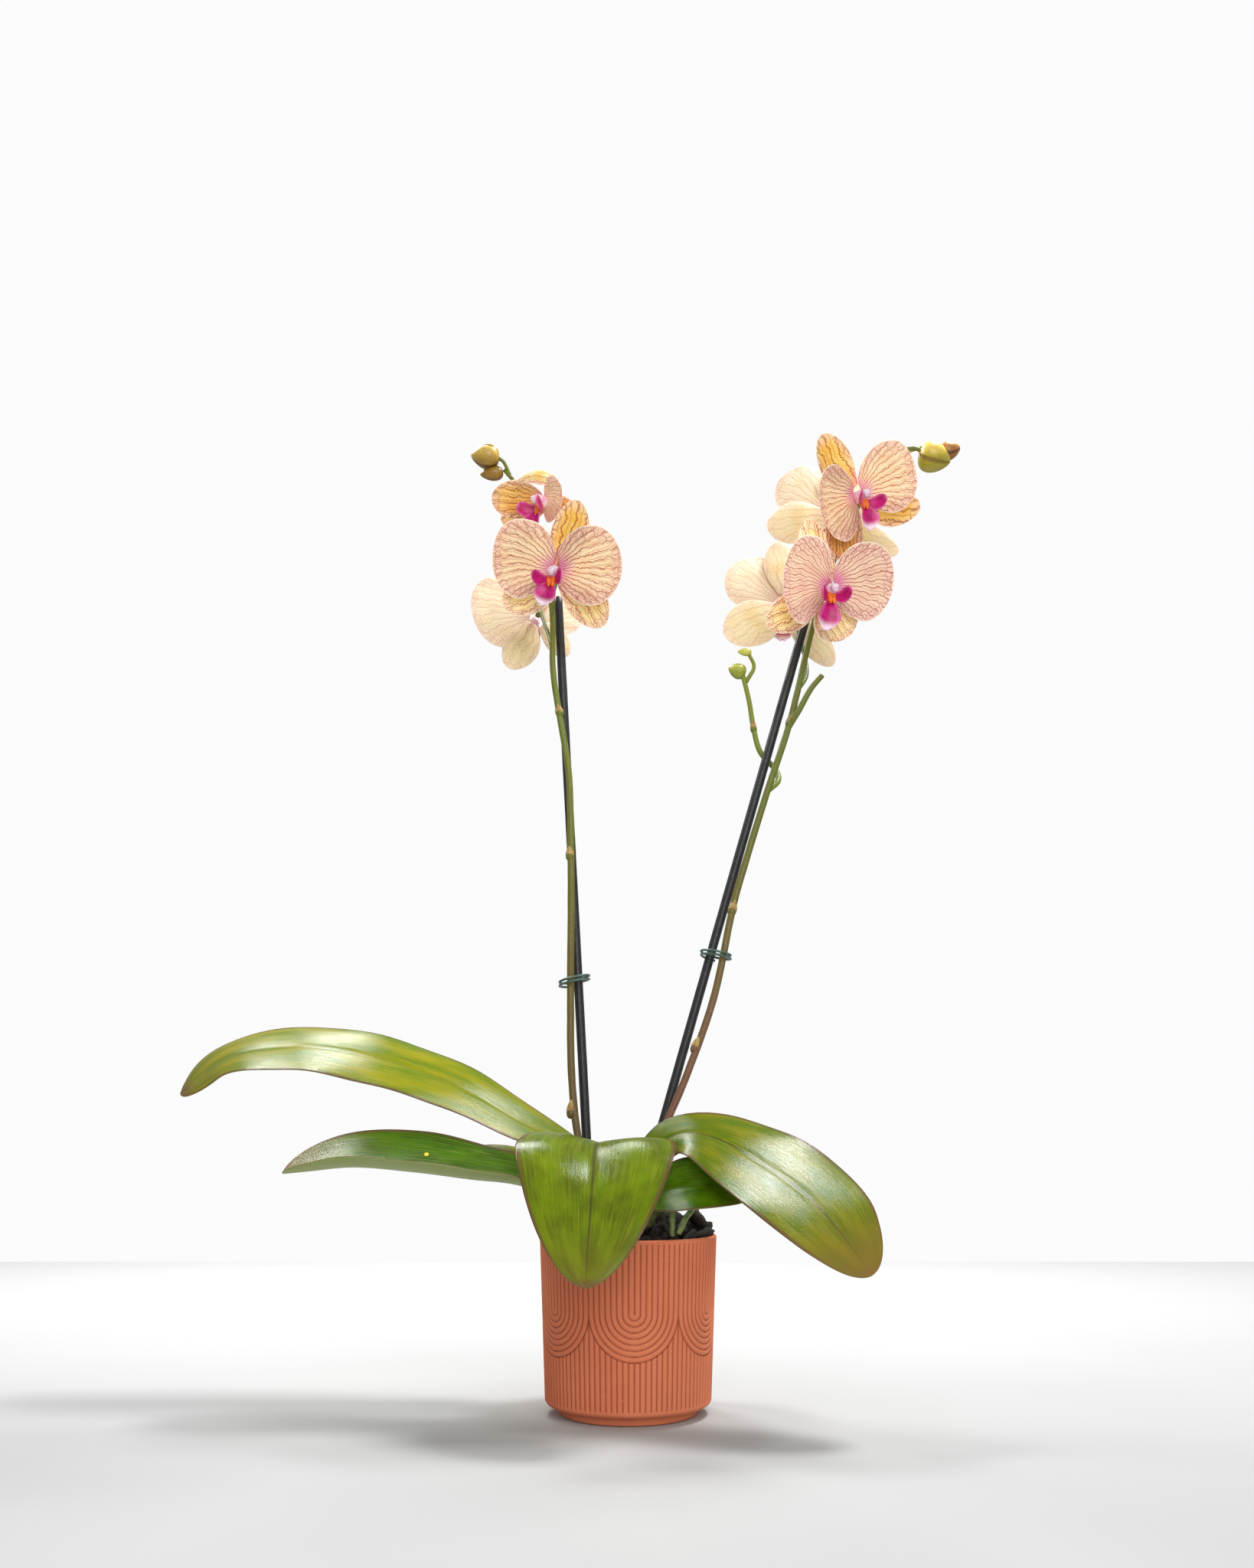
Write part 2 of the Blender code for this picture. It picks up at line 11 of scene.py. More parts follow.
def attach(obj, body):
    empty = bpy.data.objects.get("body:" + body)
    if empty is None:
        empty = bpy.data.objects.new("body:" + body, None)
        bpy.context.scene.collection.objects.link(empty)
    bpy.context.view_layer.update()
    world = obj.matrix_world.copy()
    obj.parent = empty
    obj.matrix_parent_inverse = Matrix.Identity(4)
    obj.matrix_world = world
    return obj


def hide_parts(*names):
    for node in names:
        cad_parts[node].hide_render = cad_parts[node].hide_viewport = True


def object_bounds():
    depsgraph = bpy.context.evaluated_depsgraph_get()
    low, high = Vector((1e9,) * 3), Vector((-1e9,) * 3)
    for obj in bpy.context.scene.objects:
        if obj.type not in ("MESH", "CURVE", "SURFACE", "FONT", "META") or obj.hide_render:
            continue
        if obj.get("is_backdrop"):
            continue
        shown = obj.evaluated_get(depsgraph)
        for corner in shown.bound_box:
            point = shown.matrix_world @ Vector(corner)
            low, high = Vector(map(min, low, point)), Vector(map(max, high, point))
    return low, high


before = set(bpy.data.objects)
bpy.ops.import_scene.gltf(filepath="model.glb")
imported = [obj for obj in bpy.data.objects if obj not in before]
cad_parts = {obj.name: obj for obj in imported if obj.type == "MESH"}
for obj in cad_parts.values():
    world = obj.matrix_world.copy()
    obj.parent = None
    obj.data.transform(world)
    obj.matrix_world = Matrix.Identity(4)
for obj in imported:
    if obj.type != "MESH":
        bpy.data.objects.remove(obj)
CAD_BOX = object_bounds()
MM = 0.001
rnd = random.Random(7)

# ------------------------------------------------------------------ the view
cam_data = bpy.data.cameras.new("view")
cam_data.sensor_width = 36.0
cam_data.sensor_fit = "AUTO"
cam_data.lens = 1700.0 * 36.0 / 2048.0
cam_data.shift_y = 0.10
cam = bpy.data.objects.new("view", cam_data)
bpy.context.collection.objects.link(cam)
cam.location = (-0.0008, -0.942, 0.1865)
cam.rotation_euler = (math.radians(90 + 8.7), 0, 0)
bpy.context.scene.camera = cam
bpy.context.scene.view_settings.view_transform = "Standard"

# ------------------------------------------------------------- design tables
LEAF_THICK, TEPAL_THICK, SIGHT = 2.2, 0.9, 24
LEAVES = {
    "leaf_upper_left": dict(
        spine=[(-10, 16, 150), (-34, 30, 175), (-81, 42, 201), (-131, 46, 228), (-194, 46, 249),
               (-252, 46, 257), (-305, 45, 248), (-337, 44, 220)],
        half=(37, 37), face=(0, -0.53, 0.85), cup=-14, keel=0.10, peak=0.6, blunt=2.2, claw=0.22),
    "leaf_lower_left": dict(
        spine=[(-16, -14, 134), (-38, -21, 146), (-76, -22, 158), (-110, -22, 162),
               (-150, -22, 167), (-195, -22, 170), (-241, -20, 164)],
        half=(27, 38), face=(0, -0.25, 1), cup=10, keel=0.42, peak=0.62, blunt=2.3, claw=0.22),
    "leaf_front": dict(
        spine=[(-6, -14, 160), (-14, -29, 178), (-21, -52, 185), (-23, -88, 161),
               (-25, -116, 122), (-26, -131, 98)],
        half=(56, 55), face=(0, -0.25, 1), cup=-26, keel=0.32, peak=0.38, blunt=1.3, claw=0.17),
    "leaf_right": dict(
        spine=[(6, -16, 160), (18, -20, 180), (36, -24, 191), (58, -34, 189), (83, -50, 176),
               (116, -70, 152), (138, -90, 126), (153, -101, 102)],
        half=(42, 41), face=(0.14, -0.66, 0.72), cup=-12, keel=0.10, peak=0.62, blunt=2.0,
        claw=0.18),
    "leaf_inner_right": dict(
        spine=[(8, -16, 141), (22, -34, 151), (42, -44, 156), (64, -46, 156), (86, -45, 152)],
        half=(21, 21), face=(-0.1, -0.82, 0.55), cup=8, keel=0.1, peak=0.5, blunt=2.0, claw=0.3),
    "leaf_back_left": dict(
        spine=[(-10, 18, 134), (-50, 40, 158), (-90, 50, 176), (-124, 54, 180)],
        half=(16, 16), face=(0, -0.35, 0.94), cup=-6, keel=0.1, peak=0.55, blunt=2.0, claw=0.35),
}
FLOWERS = {
    "l1": dict(centre=(-53, -45, 595), face=(-0.18, -0.90, -0.36), parts=dict(
        dorsal_sepal=([(1, 5, -1), (12, 33, 0), (17, 55, 3)], (14, 14), 12),
        left_petal=([(-2, 3, 1.5), (-23, 10, 5), (-45, 11, 6)], (28, 28), 10),
        right_petal=([(3, 3, 1.5), (28, 5, 5), (50, 5, 6)], (28, 28), 10),
        left_lateral_sepal=([(-4, -5, -2), (-20, -17, -2), (-39, -24, 3)], (14, 14), 10),
        right_lateral_sepal=([(5, -5, -2), (23, -23, -2), (36, -41, 3)], (15, 15), 10)),
        lip=(-6, -14)),
    "l2": dict(centre=(-61, -32, 658), face=(-0.66, -0.66, -0.36), parts=dict(
        dorsal_sepal=([(-3, 10, -4), (-3, 23, 0), (-4, 26, 12)], (16, 16), 4),
        left_petal=([(-2, 0, 1.5), (-20, 2, 8), (-31, 3, 17)], (14, 14), 16),
        right_petal=([(3, 0, 1.5), (10, -1, 6), (17, -4, 13)], (16, 16), 24),
        left_lateral_sepal=([(-4, -5, -2), (-20, -10, 1), (-31, -14, 8)], (10, 10), 22),
        right_lateral_sepal=([(4, -5, -2), (12, -11, -1), (17, -26, 4)], (11, 11), 22)),
        lip=(-3, -12)),
    "l3": dict(centre=(-73, 38, 595), face=(-0.42, 0.90, -0.10), parts=dict(
        dorsal_sepal=([(0, 8, -1), (3, 24, 0), (6, 43, 4)], (13, 13), 10),
        left_petal=([(-4, 3, 2), (-26, 8, 4), (-46, 9, 7)], (30, 30), 10),
        right_petal=([(4, 1, 2), (20, 8, 4), (34, 16, 7)], (20, 20), 10),
        left_lateral_sepal=([(-3, -6, -2), (-9, -21, -2), (-20, -39, 2)], (14, 14), 10),
        right_lateral_sepal=([(4, -7, -2), (15, -18, -2), (26, -31, 2)], (12, 12), 10)),
        lip=(0, -14)),
    "r1": dict(centre=(170, -37, 659), face=(0.44, -0.82, -0.34), parts=dict(
        dorsal_sepal=([(-3, 5, -1), (-20, 25, 0), (-33, 44, 3)], (15, 15), 16),
        left_petal=([(-3, 0, 1.5), (-19, -7, 4), (-34, -13, 8)], (28, 28), 14),
        right_petal=([(3, 2, 1.5), (20, 13, 5), (41, 22, 9)], (27, 25), 14),
        left_lateral_sepal=([(-4, -6, -2), (-9, -30, -2), (-13, -54, 7)], (18, 18), 12),
        right_lateral_sepal=([(5, -4, -2), (28, -9, -2), (51, -6, 3)], (13, 13), 12)),
        lip=(4, -15)),
    "r2": dict(centre=(146, -45, 582), face=(0.22, -0.90, -0.36), parts=dict(
        dorsal_sepal=([(-2, 5, -1), (-1, 35, -29), (0, 58, -44)], (13, 13), 10),
        left_petal=([(-2, 3, 1.5), (-18, 7, 5), (-37, 8, 7)], (31, 31), 10),
        right_petal=([(3, 4, 1.5), (28, 6, 5), (46, 5, 7)], (28, 28), 10),
        left_lateral_sepal=([(-5, -5, -3), (-24, -16, -6), (-46, -27, 0)], (14, 14), 10),
        right_lateral_sepal=([(2, -8, -2), (6, -22, -2), (15, -37, 2)], (18, 18), 10)),
        lip=(-4, -18)),
    "r3": dict(centre=(162, 32, 681), face=(0.12, 0.97, -0.15), parts=dict(
        dorsal_sepal=([(1, 8, -2), (1, 21, -3), (0, 35, -1)], (12, 12), 8),
        left_petal=([(-4, 5, 2), (-22, 24, 4), (-38, 36, 7)], (25, 25), 10),
        right_petal=([(4, 3, 2), (24, 14, 4), (43, 22, 7)], (20, 20), 10),
        left_lateral_sepal=([(-4, -5, -2), (-27, -9, -3), (-51, -10, 1)], (20, 20), 10),
        right_lateral_sepal=([(4, -8, -2), (27, -24, -3), (50, -34, 1)], (13, 13), 10)),
        lip=(0, -14)),
    "r4": dict(centre=(126, 48, 610), face=(-0.12, 0.97, -0.18), parts=dict(
        dorsal_sepal=([(1, 8, -1), (-1, 32, 0), (-1, 57, 4)], (15, 15), 10),
        left_petal=([(-4, 5, 2), (-25, 24, 4), (-42, 37, 7)], (26, 26), 10),
        right_petal=([(4, 2, 2), (24, 10, 4), (44, 17, 7)], (22, 22), 10),
        left_lateral_sepal=([(-4, -6, -2), (-26, -15, -3), (-49, -26, 1)], (20, 20), 10),
        right_lateral_sepal=([(3, -7, -2), (18, -27, -3), (36, -50, 1)], (14, 14), 10)),
        lip=(0, -14)),
}
STAKES = {
    "left": ((-22.7, 10.5, 60), (-54, 10.5, 600)),
    "right": ((-15.2, 10.5, 60), (142, 10.5, 600)),
}
LEFT_STEM = [(-20, 0, 146), (-28, 1, 167), (-36, 2.0, 189), (-41, 2.0, 236),
             (-42, 2.0, 299), (-42, 2.0, 362), (-43, 2.0, 427), (-45, 2.0, 463),
             (-52, 2.0, 505), (-57, 2.0, 540), (-58, 1, 585), (-66, 2, 635), (-82, 4, 682),
             (-96, 4, 702)]
RIGHT_STEM = [(9, -6, 142), (17, -2, 172), (26, 1, 195), (44, 2.0, 237), (63, 2.0, 291),
              (77, 2.0, 355), (87, 2.0, 390), (104, 2.0, 444), (122, 2.0, 498),
              (138, 2.0, 563), (148, 0, 598), (166, 0, 646), (188, 0, 688), (208, 0, 712),
              (222, 0, 718), (231, 0, 713)]


# ------------------------------------------------------------------ numerics
def V(*p):
    return np.array(p, float)


def unit(a):
    a = np.asarray(a, float)
    return a / max(np.linalg.norm(a), 1e-12)


def curve(points, n):
    """A reader by fraction along the smooth curve, and the curve's length. n is not used."""
    P = np.array(points, float)
    if len(P) == 2:
        dense = np.linspace(P[0], P[1], 400)
    else:
        E = np.vstack([2 * P[0] - P[1], P, 2 * P[-1] - P[-2]])
        rows = []
        for i in range(len(P) - 1):
            a, b, c, d = E[i:i + 4]
            s = np.linspace(0, 1, 80, endpoint=False)[:, None]
            rows.append(0.5 * (2 * b + (c - a) * s + (2 * a - 5 * b + 4 * c - d) * s ** 2
                               + (3 * b - a - 3 * c + d) * s ** 3))
        dense = np.vstack(rows + [P[-1:]])
    run = np.concatenate([[0], np.cumsum(np.linalg.norm(np.diff(dense, axis=0), axis=1))])

    def at(u):
        u = np.clip(np.atleast_1d(u), 0, 1) * run[-1]
        return np.stack([np.interp(u, run, dense[:, k]) for k in range(3)], 1)

    return at, run[-1]


def outline(u, peak, blunt, claw, fill):
    return np.where(u < peak, claw + (1 - claw) * np.sin(np.pi / 2 * np.clip(u / peak, 0, 1)) ** fill,
                    np.maximum(0.02, (1 - np.clip((u - peak) / (1 - peak), 0, 1) ** blunt) ** 0.55))


def link(ob, smooth=True):
    bpy.context.collection.objects.link(ob)
    if smooth:
        ob.data.shade_smooth()
    return ob


def build(name, verts, faces, mats, index=None, attrs=None):
    """One piece from millimetres, with its materials and named vertex attributes."""
    mesh = bpy.data.meshes.new(name)
    low, high = np.array(CAD_BOX[0]) + (2e-5, 2e-5, 0), np.array(CAD_BOX[1]) - 2e-5
    verts = np.clip(np.asarray(verts) * MM, low, high) / MM
    mesh.from_pydata([tuple(v) for v in (np.asarray(verts) * MM)], [], [tuple(f) for f in faces])
    for m in mats:
        mesh.materials.append(m)
    if index is not None:
        mesh.polygons.foreach_set("material_index", np.asarray(index, np.int32))
    for key, data in (attrs or {}).items():
        layer = mesh.attributes.new(key, "FLOAT_VECTOR", "POINT")
        layer.data.foreach_set("vector", np.asarray(data, np.float32).ravel())
    mesh.update()
    return link(bpy.data.objects.new(name, mesh))


class Parts:
    """Gathers several shapes into one piece."""

    def __init__(self):
        self.v, self.f, self.m, self.a, self.b = [], [], [], [], []

    def add(self, verts, faces, mat=0, a=None, b=None):
        base = sum(len(x) for x in self.v)
        verts = np.asarray(verts, float)
        self.v.append(verts)
        self.f += [tuple(i + base for i in f) for f in faces]
        self.m += [mat] * len(faces)
        self.a.append(np.zeros((len(verts), 3)) if a is None else np.asarray(a, float))
        self.b.append(np.zeros((len(verts), 3)) if b is None else np.asarray(b, float))
        return self

    def done(self, name, mats):
        return build(name, np.vstack(self.v), self.f, mats, self.m,
                     {"pv": np.vstack(self.a), "pk": np.vstack(self.b)})


def sheet(spine, half, face, thick, rows, cols, peak=0.5, blunt=2.0, claw=0.3, cup=0.0, keel=0.0,
          wave=0.0, waves=5, seed=0.0, origin=0.12, groove=0.0, fill=1.4):
    """The CAD blade at full detail. Returns verts, faces, pv, pk.
    pv is (fan angle, distance from the claw, nearness to the rim), pk is (back, across, u)."""
    at, length = curve(spine, rows)
    face = unit(face)
    u = np.sin(np.pi / 2 * np.linspace(0, 1, rows + 1)) ** 1.15
    v = np.sin(np.linspace(-1, 1, cols + 1) * np.pi / 2 * 0.9) / math.sin(np.pi / 2 * 0.9)
    step = 0.02
    ahead = at(np.minimum(1, u + step)) - at(np.maximum(0, u - step))
    ahead /= np.linalg.norm(ahead, axis=1)[:, None]
    up = face - ahead * (ahead @ face)[:, None]
    up /= np.linalg.norm(up, axis=1)[:, None]
    side = np.cross(ahead, up)
    w = outline(u, peak, blunt, claw, fill)
    W = np.where(v[None, :] < 0, half[0], half[1]) * w[:, None]
    bend = math.radians(cup) if abs(cup) > 0.05 else 1e-3
    out = np.sin(bend * v) / bend
    rise = (1 - np.cos(bend * v)) / bend
    soft = np.sqrt(v ** 2 + 0.012) - math.sqrt(0.012)
    rise = rise + keel * soft
    slope = bend * v + math.atan(keel) * np.clip(v * 4, -1, 1)
    P = at(u)[:, None, :] + side[:, None, :] * (W * out)[..., None] + up[:, None, :] * (W * rise)[..., None]
    N = up[:, None, :] * np.cos(slope)[None, :, None] - side[:, None, :] * np.sin(slope)[None, :, None]
    x, y = (u * length)[:, None] + 0 * W, W * v[None, :]
    fan = np.arctan2(y, x + origin * length)
    dist = np.hypot(x, y) / length
    rim = np.maximum(np.abs(v)[None, :] ** 1.0 + 0 * W, (u[:, None] - 0.55) / 0.45)
    if wave:
        ripple = np.sin(fan * waves * 2 + seed * 7) + 0.6 * np.sin(fan * waves * 3.7 + seed * 13 + x * 0.09)
        P = P + N * (wave * ripple * np.clip(rim, 0, 1) ** 3 * np.clip(w, 0, 1)[:, None])[..., None]
    if groove:
        P = P - N * (groove * np.exp(-(v / 0.05) ** 2)[None, :] * (1 - u[:, None] ** 6))[..., None]
    edge = 1 - 0.55 * np.clip(rim, 0, 1)[..., None] ** 4
    Q = P - N * thick * edge
    wide, count = cols + 1, (rows + 1) * (cols + 1)
    faces = []
    for i in range(rows):
        for j in range(cols):
            a = i * wide + j
            faces.append((a, a + wide, a + wide + 1, a + 1))
            faces.append((count + a, count + a + 1, count + a + wide + 1, count + a + wide))
    ring = (list(range(wide)) + [i * wide + cols for i in range(1, rows + 1)]
            + [rows * wide + j for j in range(cols - 1, -1, -1)] + [i * wide for i in range(rows - 1, 0, -1)])
    for a, b in zip(ring, ring[1:] + ring[:1]):
        faces.append((a, b, count + b, count + a))
    pts = np.vstack([P.reshape(-1, 3), Q.reshape(-1, 3)])
    vol = 0.0
    for f in faces:
        vol += pts[f[0]] @ np.cross(pts[f[1]], pts[f[2]]) + pts[f[0]] @ np.cross(pts[f[2]], pts[f[3]])
    if vol < 0:
        faces = [tuple(reversed(f)) for f in faces]
    pv = np.stack([fan, dist, rim], -1).reshape(-1, 3)
    vv = np.broadcast_to(v[None, :], rim.shape)
    uu = np.broadcast_to(u[:, None], rim.shape)
    pk = np.stack([0 * rim, vv, uu], -1).reshape(-1, 3)
    back = pk.copy(); back[:, 0] = 1
    return pts, faces, np.vstack([pv, pv]), np.vstack([pk, back])


def rod(path, radii, sides=16, steps=60, rough=0.0, seed=0, cap=True):
    """A round stem; radii is read along it. pv.x holds the height fraction."""
    at, length = (curve(path, steps) if not callable(path) else (path, 1.0))
    us = np.linspace(0, 1, steps + 1)
    P = at(us)
    r = np.interp(us, np.linspace(0, 1, len(radii)), radii)
    T = at(np.minimum(1, us + 0.5 / steps)) - at(np.maximum(0, us - 0.5 / steps))
    T /= np.linalg.norm(T, axis=1)[:, None]
    ref = V(0, 1, 0) if abs(T[0][1]) < 0.8 else V(0, 0, 1)
    verts = []
    for k in range(steps + 1):
        ref = unit(ref - T[k] * (ref @ T[k]))
        other = np.cross(T[k], ref)
        for s in range(sides):
            a = 2 * math.pi * s / sides
            rr = r[k]
            if rough:
                rr *= 1 + rough * noise.noise(Vector((math.cos(a), math.sin(a), us[k] * length * 0.08 + seed)))
            verts.append(P[k] + ref * math.cos(a) * rr + other * math.sin(a) * rr)
    faces = []
    for k in range(steps):
        for s in range(sides):
            a, b = k * sides + s, k * sides + (s + 1) % sides
            faces.append((a, b, b + sides, a + sides))
    for end, k in ((0, 0), (1, steps)):       # a shallow dome closes each end
        sign = -1 if end == 0 else 1
        verts.append(P[k] + T[k] * r[k] * 0.45 * sign)
        c = len(verts) - 1
        for s in range(sides):
            a, b = k * sides + s, k * sides + (s + 1) % sides
            faces.append((c, b, a) if end == 0 else (c, a, b))
    h = np.repeat(us, sides)
    h = np.concatenate([h, [0, 1]])
    return np.array(verts), faces, np.stack([h, 0 * h, 0 * h], 1)


def bud(centre, axis, length, width, point=0.3, sides=36, rings=22):
    """A closed bud: three sepals meet along shallow creases."""
    ahead = unit(axis)
    ref = V(0, 1, 0) if abs(ahead[1]) < 0.8 else V(1, 0, 0)
    ref = unit(ref - ahead * (ref @ ahead))
    other = np.cross(ahead, ref)
    c = np.array(centre, float)
    verts, pv = [c - ahead * length / 2], [(0, 0, 0)]
    for i in range(1, rings):
        a = math.pi * i / rings
        for s in range(sides):
            b = 2 * math.pi * s / sides
            crease = abs(math.sin(1.5 * b + 0.5)) ** 0.35
            r = width / 2 * math.sin(a) ** (0.9 if a < math.pi / 2 else 0.9 + 1.2 * point) * (1 + point * math.cos(a)) * (0.9 + 0.1 * crease)
            verts.append(c - ahead * math.cos(a) * length / 2 + ref * math.cos(b) * r + other * math.sin(b) * r)
            pv.append((i / rings, crease, 0))
    verts.append(c + ahead * length / 2); pv.append((1, 1, 0))
    last = len(verts) - 1
    faces = [(0, 1 + (s + 1) % sides, 1 + s) for s in range(sides)]
    for i in range(rings - 2):
        for s in range(sides):
            a, b = 1 + i * sides + s, 1 + i * sides + (s + 1) % sides
            faces.append((a, b, b + sides, a + sides))
    base = 1 + (rings - 2) * sides
    faces += [(last, base + s, base + (s + 1) % sides) for s in range(sides)]
    return np.array(verts), faces, np.array(pv, float)


# ----------------------------------------------------------------- materials
class Nodes:
    """Short hand for building a node material."""

    def __init__(self, name):
        self.mat = bpy.data.materials.new(name)
        self.mat.use_nodes = True
        self.t = self.mat.node_tree
        self.bsdf = self.t.nodes["Principled BSDF"]

    def n(self, kind, **props):
        node = self.t.nodes.new(kind)
        for k, v in props.items():
            setattr(node, k, v)
        return node

    def put(self, socket, value):
        if hasattr(value, "is_output") or hasattr(value, "links"):
            self.t.links.new(value, socket)
        else:
            socket.default_value = value

    def math(self, op, a, b=0.0, c=0.0, clamp=False):
        m = self.n("ShaderNodeMath", operation=op, use_clamp=clamp)
        for s, v in zip(m.inputs, (a, b, c)):
            self.put(s, v)
        return m.outputs[0]

    def step(self, value, lo, hi, a=0.0, b=1.0):
        m = self.n("ShaderNodeMapRange", interpolation_type="SMOOTHSTEP")
        for s, v in zip(m.inputs, (value, lo, hi, a, b)):
            self.put(s, v)
        return m.outputs[0]

    def mix(self, fac, a, b, blend="MIX"):
        m = self.n("ShaderNodeMix", data_type="RGBA", blend_type=blend)
        m.clamp_factor = True
        self.put(m.inputs[0], fac)
        for s, v in ((m.inputs[6], a), (m.inputs[7], b)):
            self.put(s, (*v, 1.0) if isinstance(v, tuple) and len(v) == 3 else v)
        return m.outputs[2]

    def attr(self, name):
        a = self.n("ShaderNodeAttribute", attribute_name=name)
        sep = self.n("ShaderNodeSeparateXYZ")
        self.t.links.new(a.outputs["Vector"], sep.inputs[0])
        return sep.outputs

    def join(self, x, y, z=0.0):
        c = self.n("ShaderNodeCombineXYZ")
        for s, v in zip(c.inputs, (x, y, z)):
            self.put(s, v)
        return c.outputs[0]

    def noise(self, vector, scale, detail=3.0, rough=0.5):
        t = self.n("ShaderNodeTexNoise")
        if vector is not None:
            self.put(t.inputs["Vector"], vector)
        t.inputs["Scale"].default_value = scale
        t.inputs["Detail"].default_value = detail
        t.inputs["Roughness"].default_value = rough
        return t.outputs["Fac"]

    def obj(self):
        return self.n("ShaderNodeTexCoord").outputs["Object"]

    def voronoi(self, vector, feature="DISTANCE_TO_EDGE", scale=1.0, dims="2D"):
        t = self.n("ShaderNodeTexVoronoi", feature=feature, voronoi_dimensions=dims)
        self.put(t.inputs["Vector"], vector)
        t.inputs["Scale"].default_value = scale
        return t.outputs["Distance"]

    def bump(self, height, strength=0.3, dist=0.0005):
        b = self.n("ShaderNodeBump")
        b.inputs["Strength"].default_value = strength
        b.inputs["Distance"].default_value = dist
        self.put(b.inputs["Height"], height)
        self.t.links.new(b.outputs[0], self.bsdf.inputs["Normal"])

    def end(self, colour=None, rough=None, **fixed):
        if colour is not None:
            self.put(self.bsdf.inputs["Base Color"], (*colour, 1.0) if isinstance(colour, tuple) else colour)
        if rough is not None:
            self.put(self.bsdf.inputs["Roughness"], rough)
        for k, v in fixed.items():
            self.bsdf.inputs[k.replace("_", " ")].default_value = v
        return self.mat


def rgb(r, g, b):
    f = lambda c: c / 255 / 12.92 if c <= 10 else ((c / 255 + 0.055) / 1.055) ** 2.4
    return (f(r), f(g), f(b))


def petal_material(name, ground, glow, vein, count, runs, seed, dense=1.0, blush=1.0,
                   throat=(0.76, 0.223, 0.445)):
    """Cream tissue with veins that fan from the claw and branch towards the rim."""
    k = Nodes(name)
    fan, dist, rim = k.attr("pv")
    back, across, along = k.attr("pk")
    low = k.noise(k.join(k.math("MULTIPLY", fan, 1.0), k.math("MULTIPLY", dist, 3.0), seed), 2.0, 2.0)
    high = k.noise(k.join(k.math("MULTIPLY", fan, 2.2), k.math("MULTIPLY", dist, 13.0), seed), 2.0, 2.0)
    bend = k.math("ADD", k.math("MULTIPLY", k.math("SUBTRACT", low, 0.5), 1.3),
                  k.math("MULTIPLY", k.math("SUBTRACT", high, 0.5), 0.7))

    def stripes(number, width, phase):
        turn = k.math("ADD", k.math("MULTIPLY", fan, number), k.math("ADD", bend, phase))
        away = k.math("ABSOLUTE", k.math("SUBTRACT", k.math("FRACT", turn), 0.5))
        edge = k.math("DIVIDE", width, k.math("ADD", dist, 0.16))
        return k.math("SUBTRACT", 1.0, k.math("DIVIDE", away, edge), clamp=True)

    lines = stripes(count, 0.08, seed)
    split = k.math("MULTIPLY", stripes(count * 2.0, 0.11, seed * 2.3), k.step(dist, 0.38, 0.62))
    cells = k.voronoi(k.join(k.math("ADD", k.math("MULTIPLY", fan, count * 1.5), bend),
                             k.math("ADD", k.math("MULTIPLY", dist, runs * 4.5), seed)))
    net = k.math("MULTIPLY", k.step(cells, 0.01, 0.10, 1.0, 0.0), k.step(rim, 0.5, 0.8))
    dots = k.voronoi(k.join(k.math("MULTIPLY", fan, count * 2.6), k.math("MULTIPLY", dist, 30.0)), "F1")
    dots = k.math("MULTIPLY", k.step(dots, 0.12, 0.24, 1.0, 0.0), k.step(dist, 0.12, 0.36, 0.9, 0.0))
    lines = k.math("MAXIMUM", k.math("MAXIMUM", k.step(lines, 0.05, 0.6), k.math("MULTIPLY", split, 0.9)),
                   k.math("MAXIMUM", k.math("MULTIPLY", net, 0.85), dots))
    lines = k.math("MULTIPLY", lines, k.step(rim, 0.93, 1.0, 1.0, 0.15))
    lines = k.math("MULTIPLY", lines, k.math("SUBTRACT", 1.0, k.math("MULTIPLY", back, 0.6)))
    lines = k.math("MULTIPLY", lines, dense, clamp=True)
    mottle = k.noise(k.join(fan, dist, seed), 4.0, 4.0)
    base = k.mix(k.step(mottle, 0.35, 0.7), ground, glow)
    base = k.mix(k.math("MULTIPLY", k.step(rim, 0.5, 0.9), 0.5), base, rgb(236, 184, 172))
    base = k.mix(k.math("MULTIPLY", k.step(rim, 0.95, 0.995), 0.8), base, rgb(252, 236, 206))
    base = k.mix(k.math("MULTIPLY", k.step(dist, 0.02, 0.30, 1.0, 0.0), 0.8 * blush), base, throat)
    base = k.mix(k.math("MULTIPLY", back, 0.5), base, rgb(244, 231, 196))
    tint = k.mix(k.step(dist, 0.1, 0.4, 1.0, 0.0), vein, rgb(190, 60, 110))
    colour = k.mix(k.math("MULTIPLY", lines, 0.9), base, tint)
    k.bump(k.math("ADD", lines, k.math("MULTIPLY", mottle, 0.6)), 0.25, 0.0003)
    return k.end(colour, k.step(mottle, 0.3, 0.8, 0.5, 0.38), Subsurface_Weight=0.12,
                 Specular_IOR_Level=0.35, Sheen_Weight=0.08)


